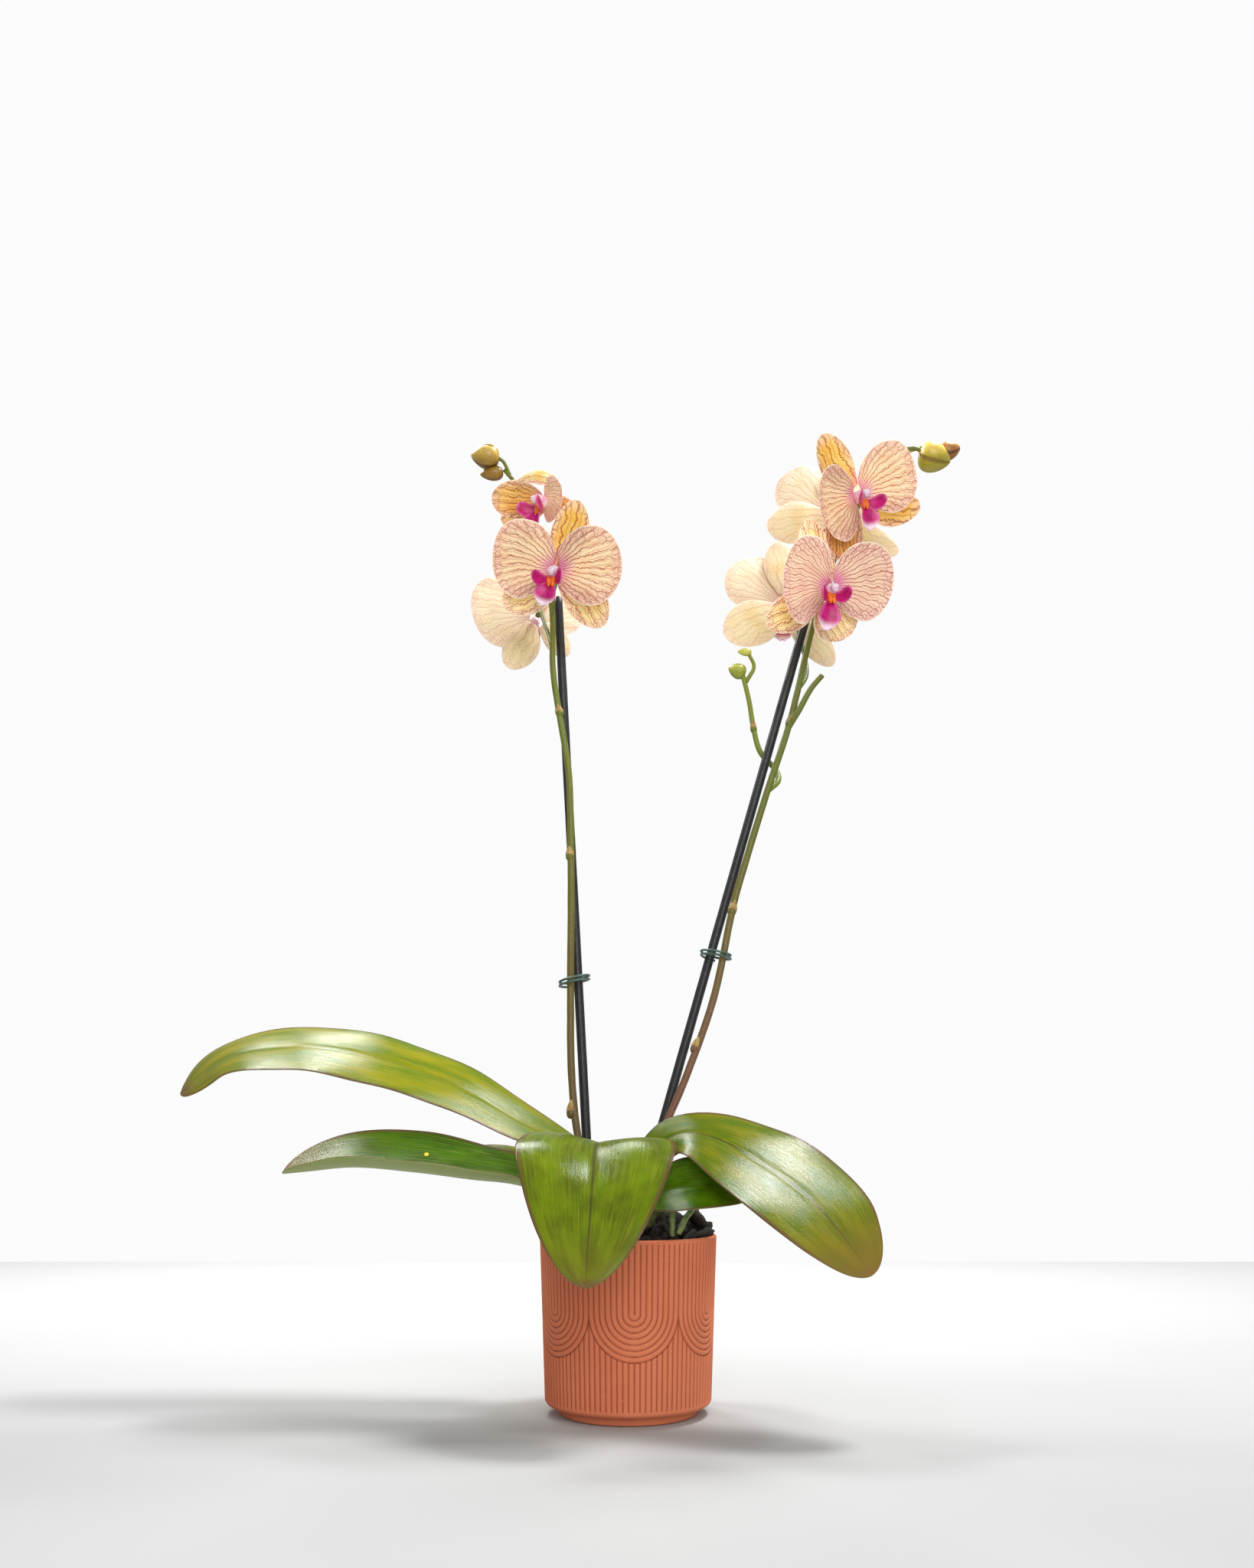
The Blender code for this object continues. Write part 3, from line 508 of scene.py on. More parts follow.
def leaf_material(name, young, deep, tip=0.0, midrib=0.6, spot=None):
    """Waxy leaf: fine grain along it, purple-brown rim, darker midrib, pale underside."""
    k = Nodes(name)
    fan, dist, rim = k.attr("pv")
    back, v, u = k.attr("pk")
    grain = k.noise(k.join(k.math("MULTIPLY", v, 46.0), k.math("MULTIPLY", u, 4.5)), 1.0, 5.0, 0.6)
    cloud = k.noise(k.join(k.math("MULTIPLY", v, 1.6), k.math("MULTIPLY", u, 4.0)), 1.6, 4.0)
    cells = k.noise(k.obj(), 900.0, 2.0)
    col = k.mix(k.step(cloud, 0.3, 0.72), deep, young)
    col = k.mix(k.math("MULTIPLY", k.step(grain, 0.45, 0.75), 0.4), col, rgb(150, 152, 26))
    rib = k.step(k.math("ABSOLUTE", v), 0.0, 0.045, 1.0, 0.0)
    col = k.mix(k.math("MULTIPLY", rib, midrib), col, rgb(58, 42, 34))
    col = k.mix(k.step(u, 0.0, 0.45, 0.5, 0.0), col, deep)
    col = k.mix(k.math("MULTIPLY", k.step(k.math("ADD", rim, k.math("MULTIPLY", k.math("SUBTRACT", cloud, 0.5), 0.12)), 0.9, 0.99), 0.8), col, rgb(92, 52, 44))
    if tip:
        col = k.mix(k.math("MULTIPLY", k.step(u, 0.72, 1.0), tip), col, rgb(118, 96, 40))
    col = k.mix(k.math("MULTIPLY", back, 0.8), col, rgb(150, 166, 96))
    if spot:
        off = k.math("ADD", k.math("POWER", k.math("MULTIPLY", k.math("SUBTRACT", u, spot[0]), 230.0), 2.0),
                     k.math("POWER", k.math("MULTIPLY", k.math("SUBTRACT", v, spot[1]), 34.0), 2.0))
        col = k.mix(k.step(off, 1.0, 3.4, 1.0, 0.0), col, rgb(226, 190, 40))
    broken = k.noise(k.join(k.math("MULTIPLY", v, 22.0), k.math("MULTIPLY", u, 15.0)), 1.0, 3.0, 0.55)
    rough = k.math("ADD", k.step(broken, 0.35, 0.65, 0.10, 0.23), k.math("MULTIPLY", back, 0.35))
    wrinkle = k.noise(k.join(k.math("MULTIPLY", v, 62.0), k.math("MULTIPLY", u, 120.0)), 1.0, 3.0, 0.6)
    k.bump(k.math("ADD", k.math("MULTIPLY", grain, 0.7), k.math("ADD", k.math("MULTIPLY", broken, 1.0), k.math("ADD", k.math("MULTIPLY", wrinkle, 0.9), k.math("MULTIPLY", cells, 0.03)))), 0.5, 0.00022)
    return k.end(col, rough, Specular_IOR_Level=0.28, IOR=1.38)


def stem_material(name, low, high, bottom, top):
    k = Nodes(name)
    z = k.n("ShaderNodeSeparateXYZ"); k.t.links.new(k.obj(), z.inputs[0])
    streak = k.n("ShaderNodeMapping"); k.t.links.new(k.obj(), streak.inputs[0])
    streak.inputs["Scale"].default_value = (900, 900, 60)
    lines = k.noise(streak.outputs[0], 1.0, 4.0)
    spots = k.noise(k.obj(), 700.0, 3.0)
    col = k.mix(k.step(z.outputs[2], bottom, top), low, high)
    col = k.mix(k.math("MULTIPLY", k.step(lines, 0.4, 0.75), 0.45), col, rgb(96, 62, 44))
    col = k.mix(k.math("MULTIPLY", k.step(spots, 0.62, 0.75), 0.3), col, rgb(196, 188, 120))
    k.bump(lines, 0.3, 0.0004)
    return k.end(col, k.step(spots, 0.3, 0.7, 0.36, 0.55), Specular_IOR_Level=0.45)


def plain_material(name, a, b, scale, rough=(0.4, 0.6), bump=0.3, deep=0.0004, **fixed):
    k = Nodes(name)
    big = k.noise(k.obj(), scale, 6.0, 0.6)
    small = k.noise(k.obj(), scale * 7, 3.0)
    col = k.mix(k.step(big, 0.32, 0.7), a, b)
    k.bump(k.math("ADD", big, k.math("MULTIPLY", small, 0.5)), bump, deep)
    return k.end(col, k.step(small, 0.3, 0.7, *rough), **fixed)


def bud_material(name, painted_lit_top, body, seam, low, high):
    """Sepals folded shut: dark seams, a lengthwise grain, and the upper half of each bud painted paler as painted light
    from above.
    """
    k = Nodes(name)
    along, crease, _ = k.attr("pv")
    cloud = k.noise(k.obj(), 150.0, 4.0)
    grain = k.n("ShaderNodeMapping"); k.t.links.new(k.obj(), grain.inputs[0])
    grain.inputs["Scale"].default_value = (300, 900, 900)
    lines = k.noise(grain.outputs[0], 1.0, 4.0)
    z = k.n("ShaderNodeSeparateXYZ"); k.t.links.new(k.obj(), z.inputs[0])
    # painted light: by height, the upper half of each bud takes the paler colour, as if lit from above
    col = k.mix(k.step(k.math("ADD", z.outputs[2], k.math("MULTIPLY", k.math("SUBTRACT", cloud, 0.5), 0.006)), low, high), body, painted_lit_top)
    col = k.mix(k.math("MULTIPLY", k.step(lines, 0.5, 0.7), 0.35), col, seam)
    col = k.mix(k.math("MULTIPLY", k.step(crease, 0.45, 0.72, 1.0, 0.0), 0.85), col, seam)
    k.bump(k.math("ADD", k.step(crease, 0.4, 0.75), k.math("MULTIPLY", lines, 0.3)), 0.5, 0.0006)
    return k.end(col, k.step(cloud, 0.3, 0.7, 0.28, 0.42), Specular_IOR_Level=0.5)


def terracotta():
    k = Nodes("terracotta")
    broad = k.noise(k.obj(), 14.0, 5.0)
    dust = k.noise(k.obj(), 420.0, 4.0, 0.65)
    grit = k.noise(k.obj(), 1800.0, 2.0)
    crest = k.attr("pv")[0]
    col = k.mix(k.step(broad, 0.3, 0.72), rgb(200, 110, 76), rgb(212, 124, 88))
    # painted shade: where the crest attribute is low, in the flute grooves, the colour is painted darker to stand for
    # the shade that falls there
    col = k.mix(k.step(crest, 0.35, 0.95, 0.85, 0.0), col, rgb(132, 56, 34))
    col = k.mix(k.math("MULTIPLY", k.step(dust, 0.58, 0.75), 0.35), col, rgb(222, 150, 116))
    col = k.mix(k.math("MULTIPLY", k.step(grit, 0.66, 0.78), 0.4), col, rgb(140, 66, 42))
    k.bump(k.math("ADD", dust, k.math("MULTIPLY", grit, 0.6)), 0.25, 0.0003)
    return k.end(col, k.step(dust, 0.3, 0.7, 0.78, 0.9), Specular_IOR_Level=0.25)


def lip_material():
    k = Nodes("lip_magenta")
    fan, dist, rim = k.attr("pv")
    veins = k.step(k.voronoi(k.join(k.math("MULTIPLY", fan, 7.0), k.math("MULTIPLY", dist, 2.0))), 0.0, 0.12, 1.0, 0.0)
    col = k.mix(k.step(k.noise(k.obj(), 260.0, 3.0), 0.35, 0.7), rgb(206, 14, 122), rgb(160, 6, 84))
    col = k.mix(k.math("MULTIPLY", k.step(rim, 0.55, 1.0), 0.6), col, rgb(240, 92, 176))
    col = k.mix(k.math("MULTIPLY", veins, 0.5), col, rgb(110, 4, 50))
    col = k.mix(k.step(dist, 0.7, 0.98), col, rgb(252, 226, 240))
    k.bump(veins, 0.2, 0.0002)
    return k.end(col, 0.36, Subsurface_Weight=0.1, Specular_IOR_Level=0.45)


def callus_material():
    k = Nodes("callus_spotted")
    spots = k.step(k.voronoi(k.obj(), "F1", 1100.0, "3D"), 0.25, 0.5, 1.0, 0.0)
    col = k.mix(spots, rgb(238, 120, 30), rgb(168, 14, 14))
    k.bump(spots, 0.3, 0.0002)
    return k.end(col, 0.38)


M = dict(
    petal_cream=petal_material("petal_cream", rgb(248, 216, 174), rgb(242, 196, 148), rgb(150, 26, 38), 7.4, 2.0, 0.3),
    petal_pink=petal_material("petal_pink", rgb(242, 204, 174), rgb(234, 182, 158), rgb(146, 24, 42), 7.8, 2.1, 1.7, 1.0, 1.3),
    petal_orange=petal_material("petal_orange", rgb(240, 188, 96), rgb(226, 150, 66), rgb(112, 12, 10), 7.4, 2.0, 2.9, 1.2, 1.25, rgb(150, 20, 24)),
    petal_pale=petal_material("petal_pale", rgb(240, 216, 182), rgb(234, 198, 146), rgb(176, 62, 78), 7.0, 1.8, 4.1, 1.1, 0.5),
    sepal_gold=petal_material("sepal_gold", rgb(246, 206, 110), rgb(232, 164, 48), rgb(140, 40, 28), 10.0, 1.2, 5.3, 1.0, 0.4),
    sepal_cream=petal_material("sepal_cream", rgb(248, 224, 164), rgb(242, 204, 120), rgb(156, 50, 46), 10.0, 1.2, 6.1, 1.0, 0.5),
    sepal_brown=petal_material("sepal_brown", rgb(222, 156, 74), rgb(196, 112, 42), rgb(104, 20, 12), 11.0, 1.2, 7.7, 1.1, 0.3),
    sepal_pale=petal_material("sepal_pale", rgb(238, 212, 152), rgb(230, 186, 88), rgb(186, 92, 76), 9.0, 1.2, 8.9, 0.8, 0.3),
    sepal_olive=petal_material("sepal_olive", rgb(224, 186, 112), rgb(192, 150, 62), rgb(130, 70, 40), 9.0, 1.2, 9.9, 0.9, 0.2),
    leaf_bright=leaf_material("leaf_bright", rgb(136, 132, 4), rgb(84, 108, 2), 0.3, 0.12),
    leaf_olive=leaf_material("leaf_olive", rgb(114, 114, 6), rgb(66, 94, 2), 0.85, 0.7),
    leaf_front=leaf_material("leaf_front_green", rgb(100, 122, 4), rgb(74, 88, 8), 0.35),
    leaf_dark=leaf_material("leaf_dark", rgb(64, 102, 0), rgb(38, 72, 0), 0.6, 0.3, (0.58, 0.45)),
    leaf_inner=leaf_material("leaf_inner", rgb(76, 112, 0), rgb(44, 84, 0), 0.6, 0.3),
    stem_left=stem_material("stem_left", rgb(98, 80, 36), rgb(106, 116, 26), 0.20, 0.50),
    stem_right=stem_material("stem_right", rgb(116, 76, 54), rgb(98, 108, 22), 0.20, 0.46),
    branch=stem_material("branch_green", rgb(112, 132, 34), rgb(132, 142, 40), 0.45, 0.55),
    bract=plain_material("bract", rgb(186, 158, 84), rgb(136, 98, 56), 260.0, (0.45, 0.6)),
    bud_gold=bud_material("bud_gold", rgb(222, 190, 92), rgb(142, 108, 34), rgb(84, 52, 20), 0.700, 0.718),
    bud_green=bud_material("bud_green", rgb(238, 206, 96), rgb(150, 140, 30), rgb(112, 88, 20), 0.703, 0.716),
    bud_leafy=bud_material("bud_leafy", rgb(206, 204, 92), rgb(150, 160, 48), rgb(104, 110, 30), 0.540, 0.552),
    bud_brown=bud_material("bud_brown", rgb(196, 138, 66), rgb(130, 84, 34), rgb(78, 42, 18), 0.708, 0.722),
    column=plain_material("column_white", rgb(250, 236, 232), rgb(232, 150, 200), 240.0, (0.35, 0.45), Subsurface_Weight=0.15),
    lip=lip_material(), callus=callus_material(),
    terracotta=terracotta(),
    bark=plain_material("bark", rgb(44, 32, 24), rgb(16, 12, 10), 190.0, (0.75, 0.95), 0.9, 0.0016),
    bark_brown=plain_material("bark_brown", rgb(92, 60, 38), rgb(40, 26, 18), 160.0, (0.7, 0.9), 0.9, 0.0016),
    root=plain_material("root", rgb(124, 138, 78), rgb(84, 104, 52), 240.0, (0.45, 0.65)),
    stake=plain_material("stake_black", rgb(34, 32, 33), rgb(20, 19, 21), 120.0, (0.36, 0.55), 0.3, 0.0005),
    wire=plain_material("clip_wire", rgb(78, 104, 90), rgb(50, 74, 62), 300.0, (0.3, 0.45)),
    crown=plain_material("crown", rgb(108, 116, 60), rgb(70, 70, 40), 120.0, (0.5, 0.7)),
)


def piece(ob, node):
    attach(ob, "root")
    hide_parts(node)
    return ob


# ----------------------------------------------------------------------- pot
def pot():
    """Turned body, 96 rounded flutes, six medallions of nested half rings."""
    R, Z, FL = 62.5, 120.6, 96
    arc_top, sectors = 73.0, 6
    per = 10
    turns = FL * per
    theta = 2 * np.pi * np.arange(turns) / turns
    offset = math.radians(-90 + 3.9)          # the front medallion sits just right of centre
    pitch_angle = 2 * np.pi / FL

    def radius(z):
        return np.interp(z, [9.5, 117.6], [57.8, 62.3])

    def lobe(t):
        t = np.abs(t - np.floor(t) - 0.5) * 2         # 0 on the crest, 1 in the groove
        return np.sqrt(np.clip(1 - (0.98 * t) ** 2.6, 0, 1))

    def surface(z):
        rr = radius(z)
        local = (theta - offset + np.pi / sectors) % (2 * np.pi / sectors) - np.pi / sectors
        s = local / pitch_angle                      # in flutes, 0 at a medallion's middle
        p = 2 * np.pi * rr / FL
        down = (arc_top - z) / p
        h = lobe(s)
        if down > 0:
            rho = np.hypot(s, down)
            ring = lobe(rho)
            gate = np.clip((rho - 8.0) / 0.35, 0, 1)
            h = np.where(rho < 8.0, ring, lobe(s) * np.sqrt(1 - (1 - gate) ** 2))
        fade = np.clip((z - 9.5) / 1.6, 0, 1) * np.clip((118.4 - z) / 1.0, 0, 1)
        return rr - 1.5 * (1 - h) * fade ** 0.5, h * fade ** 0.5 + 1 - fade ** 0.5

    levels = [(46.2, 0.0), (47.4, 0.35), (47.8, 1.2), (48.0, 4.2), (48.6, 5.2), (51.5, 5.6), (54.6, 6.2), (56.6, 7.4), (57.5, 8.6)]
    flat = np.ones(turns)
    rows = [(np.full(turns, r), z, flat) for r, z in levels]
    heights = list(np.linspace(9.5, 12, 5)) + list(np.linspace(15, 38, 8)) + list(np.arange(39.0, 74.0, 0.62)) \
        + [74.5, 80, 90, 100, 110, 116.5, 117.4, 118.0, 118.5]
    rows += [(surface(z)[0], z, surface(z)[1]) for z in heights]
    rows += [(np.full(turns, r), z, flat) for r, z in
             [(62.4, 119.3), (62.1, 120.1), (61.4, 120.55), (60.6, 120.6), (59.8, 120.4), (59.2, 119.8),
              (58.9, 118.6), (57.5, 90.0), (55.4, 40.0), (51.3, 10.0)]]
    verts, faces = [], []
    crest = []
    for r, z, h in rows:
        verts.append(np.stack([r * np.cos(theta), r * np.sin(theta), np.full(turns, z)], 1))
        crest.append(h)
    for i in range(len(rows) - 1):
        for k in range(turns):
            a, b = i * turns + k, i * turns + (k + 1) % turns
            faces.append((a, b, b + turns, a + turns))
    verts.append(np.array([[0, 0, 0], [0, 0, 10.0]]))
    n = len(rows) * turns
    last = (len(rows) - 1) * turns
    for k in range(turns):
        faces.append((n, (k + 1) % turns, k))
        faces.append((n + 1, last + k, last + (k + 1) % turns))
    # the crest height goes into pv; the terracotta material paints shade into the grooves from it
    crest = np.concatenate(crest + [np.ones(2)])
    return piece(build("pot", np.vstack(verts), faces, [M["terracotta"]],
                       attrs={"pv": np.stack([crest, crest, crest], 1)}), "outer_pot")


def chunk(centre, size, seed):
    """One torn piece of bark: a faceted lump."""
    r = random.Random(seed)
    axes = [unit([r.gauss(0, 1) for _ in range(3)])]
    axes.append(unit(np.cross(axes[0], [r.gauss(0, 1) for _ in range(3)])))
    axes.append(np.cross(axes[0], axes[1]))
    scale = (size * r.uniform(0.9, 1.3), size * r.uniform(0.6, 0.9), size * r.uniform(0.35, 0.6))
    verts, faces = [], []
    n, m = 14, 9
    for i in range(m + 1):
        a = math.pi * i / m
        for s in range(n if 0 < i < m else 1):
            b = 2 * math.pi * s / n
            d = np.array([math.sin(a) * math.cos(b), math.sin(a) * math.sin(b), math.cos(a)])
            d = np.sign(d) * np.abs(d) ** 0.72
            bumpy = 1 + 0.22 * noise.noise(Vector(d * 1.8) + Vector((seed, 0, 0))) + 0.08 * noise.noise(Vector(d * 6) + Vector((0, seed, 0)))
            q = d * bumpy * np.array(scale) * 0.62
            verts.append(np.array(centre) + axes[0] * q[0] + axes[1] * q[1] + axes[2] * q[2])
    ring = lambda i: 0 if i == 0 else 1 + (i - 1) * n
    for s in range(n):
        faces.append((0, ring(1) + s, ring(1) + (s + 1) % n))
        faces.append((len(verts) - 1, ring(m - 1) + (s + 1) % n, ring(m - 1) + s))
    for i in range(1, m - 1):
        for s in range(n):
            a, b = ring(i) + s, ring(i) + (s + 1) % n
            faces.append((a, a + n, b + n, b))
    return np.array(verts), faces


def bark():
    group = Parts()
    turns = 64
    rows = [(50.5, 11.0), (56.6, 100.0)] + [(r, None) for r in (56.6, 52, 46, 38, 30, 22, 14, 7)]
    heap = lambda x, y: 107.0 + 9.0 * math.exp(-((x - 20) ** 2 + (y - 0) ** 2) / 300.0) + 10.0 * math.exp(-((x - 38) ** 2 + (y - 6) ** 2) / 620.0) + 2.2 * noise.noise(Vector((x * 0.14, y * 0.14, 2)))
    verts = []
    for r, z in rows:
        for k in range(turns):
            a = 2 * math.pi * k / turns
            x, y = r * math.cos(a), r * math.sin(a)
            verts.append((x, y, z if z is not None else heap(x, y)))
    faces = []
    for i in range(len(rows) - 1):
        for k in range(turns):
            a, b = i * turns + k, i * turns + (k + 1) % turns
            faces.append((a, b, b + turns, a + turns))
    verts += [(0, 0, 11.0), (0, 0, heap(0, 0))]
    for k in range(turns):
        faces.append((len(verts) - 2, (k + 1) % turns, k))
        faces.append((len(verts) - 1, (len(rows) - 1) * turns + k, (len(rows) - 1) * turns + (k + 1) % turns))
    group.add(verts, faces, 0)
    r = random.Random(11)
    for i in range(150):
        rad, a = 50 * math.sqrt(r.random()), r.uniform(0, 2 * math.pi)
        x, y = rad * math.cos(a), rad * math.sin(a)
        size = r.uniform(7, 12)
        z = heap(x, y) + r.uniform(0, 3.5)
        v, f = chunk((x, y, z), size, 20 + i)
        group.add(v, f, 1 if r.random() < 0.2 else 0)
    for i, (x, y, z, s) in enumerate([(50, -4, 131, 13), (52, 2, 124, 13), (44, 4, 126, 13), (52, -12, 121, 12),
                                      (42, -20, 119, 12), (36, 10, 124, 12), (48, -8, 118, 13), (30, -26, 116, 11),
                                      (22, -34, 115, 11), (12, -36, 114, 11), (54, 6, 119, 10), (22, 2, 127, 14), (29, 6, 130, 12), (15, -2, 124, 13),
                                      (34, -2, 128, 12), (24, -10, 122, 12), (10, -22, 116, 12), (2, -30, 114, 12), (26, 12, 126, 12),
                                      (38, -10, 124, 11), (17, 8, 126, 11), (46, 2, 133, 9)]):
        v, f = chunk((x, y, z), s, 300 + i)
        group.add(v, f, 0)
    return piece(group.done("bark_chunks", [M["bark"], M["bark_brown"]]), "bark_mix")


pot()
bark()

v, f, a = rod([(-6, -4, 96), (-6, -4, 120), (-6, -3, 150), (-6, -3, 160)], [8, 8, 7.4, 6.2], 28, 40, 0.1)
piece(Parts().add(v, f, 0, a).done("crown", [M["crown"]]), "plant_crown")
for nm, path in (("aerial_root_front", [(14, -16, 128), (22, -26, 142), (29, -33, 141), (30, -37, 131), (30, -38, 122)]),
                 ("aerial_root_back", [(18, -8, 134), (34, -18, 144), (44, -27, 141), (39, -34, 133), (34, -42, 124)])):
    v, f, a = rod(path, [2.4, 2.3, 2.2, 1.9], 18, 50, 0.14, 3)
    piece(Parts().add(v, f, 0, a).done("look_" + nm, [M["root"]]), nm)

# -------------------------------------------------------------------- leaves
LOOK = dict(leaf_upper_left="leaf_bright", leaf_lower_left="leaf_dark", leaf_front="leaf_front",
            leaf_right="leaf_olive", leaf_inner_right="leaf_inner", leaf_back_left="leaf_bright")
for i, (name, d) in enumerate(LEAVES.items()):
    big = name not in ("leaf_inner_right", "leaf_back_left")
    v, f, a, b = sheet(d["spine"], d["half"], d["face"], LEAF_THICK, 64 if big else 40, 36 if big else 24,
                       d["peak"], d["blunt"], d["claw"], d["cup"], d["keel"],
                       wave=1.0 if big else 0.5, waves=3, seed=0.4 + i, groove=0.7)
    piece(Parts().add(v, f, 0, a, b).done("look_" + name, [M[LOOK[name]]]), name)

# -------------------------------------------------------------------- stakes
for side, (lo, hi) in STAKES.items():
    v, f, a = rod([lo, hi], [3.4, 3.35, 3.3], 24, 90, 0.025, 5)
    piece(Parts().add(v, f, 0, a).done("look_stake_" + side, [M["stake"]]), "stake_" + side)


def clip(name, middle, tilt):
    turns, pitch, across, deep = 2.0, 2.7, 10.8, 12.0

    def at(u):
        u = np.atleast_1d(u)
        ang = 2 * np.pi * turns * u + np.pi / 2
        x = across * np.cos(ang)
        return np.stack([middle[0] + x, middle[1] + deep * np.sin(ang),
                         middle[2] + pitch * turns * (u - 0.5) + tilt * x], 1)

    v, f, a = rod(at, [0.9, 0.9], 12, 110)
    piece(Parts().add(v, f, 0, a).done("look_" + name, [M["wire"]]), name)


clip("clip_left", (-39.4, 6.3, 302), 0.18)
clip("clip_right", (64.6, 6.3, 321), -0.22)


# ------------------------------------------------------------------- flowers
def on_face(flower, x, z, relief):
    n = unit(flower["face"])
    s = V(0, math.cos(math.radians(SIGHT)), math.sin(math.radians(SIGHT)))
    return V(*flower["centre"]) + V(x, 0, z) + s * (-(n[0] * x + n[2] * z) / (n @ s)) + n * relief


TINT = {
    "l1": dict(petal="petal_cream", sepal="sepal_cream", dorsal_sepal="sepal_gold"),
    "l2": dict(petal="petal_orange", sepal="sepal_brown", dorsal_sepal="sepal_pale", right_petal="petal_pale",
               left_lateral_sepal="sepal_gold"),
    "l3": dict(petal="petal_pale", sepal="sepal_cream", left_lateral_sepal="sepal_olive"),
    "r1": dict(petal="petal_cream", sepal="sepal_gold", left_lateral_sepal="sepal_brown"),
    "r2": dict(petal="petal_pink", sepal="sepal_cream"),
    "r3": dict(petal="petal_pale", sepal="sepal_pale"),
    "r4": dict(petal="petal_pale", sepal="sepal_pale"),
}


def lip(tag, flower):
    n = unit(flower["face"])
    right = np.cross(V(0, 0, 1), n)
    right = unit(right)
    right = right if right[0] > 0 else -right
    up = np.cross(n, right)
    up = up if up[2] > 0 else -up
    c = V(*flower["centre"])
    sx, sz = flower["lip"]
    at = lambda x, y, r: c + right * x + up * y + n * r
    g = Parts()
    v, f, a = bud(at(0, -0.3, 6.2), n * 0.9 + up * 0.45, 13.5, 9.4, 0.1, 24, 14)
    g.add(v, f, 1, a)
    v, f, a = bud(at(0, 1.0, 11.6), n + up * 0.1, 6.4, 6.6, 0.0, 20, 10)       # the white cap
    g.add(v, f, 1, a)
    for s in (-1, 1):                                                          # two-part callus
        v, f, a = bud(at(sx * 0.25 + s * 1.4, -5.8, 9.6), n * 0.8 - up, 11, 4.6, 0.2, 16, 10)
        g.add(v, f, 2, a)
    v, f, a, b = sheet([at(sx * 0.3, -7, 8), at(sx * 0.7, sz * 0.9, 14), at(sx * 1.2, sz * 1.6, 15)], (8.5, 8.5),
                       n + up * 0.3, 0.9, 26, 18, 0.62, 1.5, 0.34, 30, 0.15, wave=0.6, waves=3, seed=3, fill=2.2)
    g.add(v, f, 0, a, b)
    for s in (-1, 1):
        v, f, a, b = sheet([at(s * 2 + sx * 0.2, -5.5, 8), at(s * 8 + sx * 0.3, -4, 14), at(s * 11 + sx * 0.3, 1, 20)],
                           (5.5, 5.5), n * 0.5 - right * s, 0.8, 22, 14, 0.6, 2.2, 0.4, 30)
        a[:, 1] *= 0.78
        g.add(v, f, 0, a, b)
        tip = at(sx * 1.2, sz * 1.6, 15)                                       # curled tendrils
        v, f, a = rod([tip - n * 0.5, tip + right * s * 2 + n * 1.5, tip + right * s * 4.2 + up * 2.2 + n * 1.0,
                       tip + right * s * 3.6 + up * 4.0 - n * 0.5], [0.55, 0.45, 0.3, 0.12], 8, 20)
        g.add(v, f, 1, a)
    return piece(g.done("look_lip_" + tag, [M["lip"], M["column"], M["callus"]]), "flower_%s_lip" % tag)


FLOWERS["l2"]["parts"]["dorsal_sepal"] = ([(7, 15, -4), (-4, 21, 6), (-11, 17, 15)], (9, 10), -40)
FLOWERS["l2"]["parts"]["right_petal"] = ([(-1, 3, 1), (7, 1, 4), (16, -4, 6)], (17, 17), 10)
FLOWERS["l2"]["parts"]["right_lateral_sepal"] = ([(4, -5, -2), (13, -10, -2), (20, -26, 1)], (12, 12), 12)
for t, (tag, flower) in enumerate(FLOWERS.items()):
    for i, (part, (points, half, cup)) in enumerate(flower["parts"].items()):
        kind = "petal" if "petal" in part else "sepal"
        look = TINT[tag].get(part) or TINT[tag][kind]
        hood = tag == "l2" and part == "dorsal_sepal"
        v, f, a, b = sheet([on_face(flower, *p) for p in points], half, (-0.2, -1, 0.5) if hood else flower["face"], 0.7, 40, 34,
                           0.5, 2.4 if kind == "petal" else 1.9, 0.34 if kind == "petal" else 0.38, cup, 0.0,
                           wave=0.8 if kind == "petal" else 0.5, waves=4, seed=t * 1.3 + i * 0.7,
                           origin=0.16 if kind == "petal" else 0.9, fill=0.7 if kind == "petal" else 1.0)
        node = "flower_%s_%s" % (tag, part)
        piece(Parts().add(v, f, 0, a, b).done("look_" + node, [M[look]]), node)
    lip(tag, flower)


# -------------------------------------------------------------------- spikes
def pedicel(g, start, tag, around=(), mat=0):
    flower = FLOWERS[tag]
    n = unit(flower["face"])
    goal = V(*flower["centre"]) - n * 4.2
    a = V(*start)
    mid = [V(*p) for p in around] or [a + (goal - a) * 0.45 + V(0, 0, 5)]
    v, f, at = rod([a] + mid + [goal - n * 7, goal], [1.7, 1.5, 1.6, 2.1], 14, 40, 0.05)
    g.add(v, f, mat, at)


def bract(g, at, ahead, mat, size=9, r=3.1):
    """A pointed papery sheath wrapped round a node."""
    at, ahead = V(*at), unit(ahead)
    side = unit(np.cross(ahead, V(0, 1, 0)))
    v, f, a, b = sheet([at - ahead * size * 0.4 + V(0, -r * 0.75, 0), at + V(0, -r * 1.0, 0),
                        at + ahead * size * 0.65 + V(0, -r * 0.85, 0)], (r * 1.5, r * 1.5), (0, -1, 0.05), 0.5, 16, 14,
                       0.35, 1.3, 0.85, -75)
    g.add(v, f, mat, a, b)
    v, f, a = bud(at - ahead * size * 0.15, ahead, size * 0.9, r * 2.15, 0.1, 20, 12)
    g.add(v, f, 0, a)


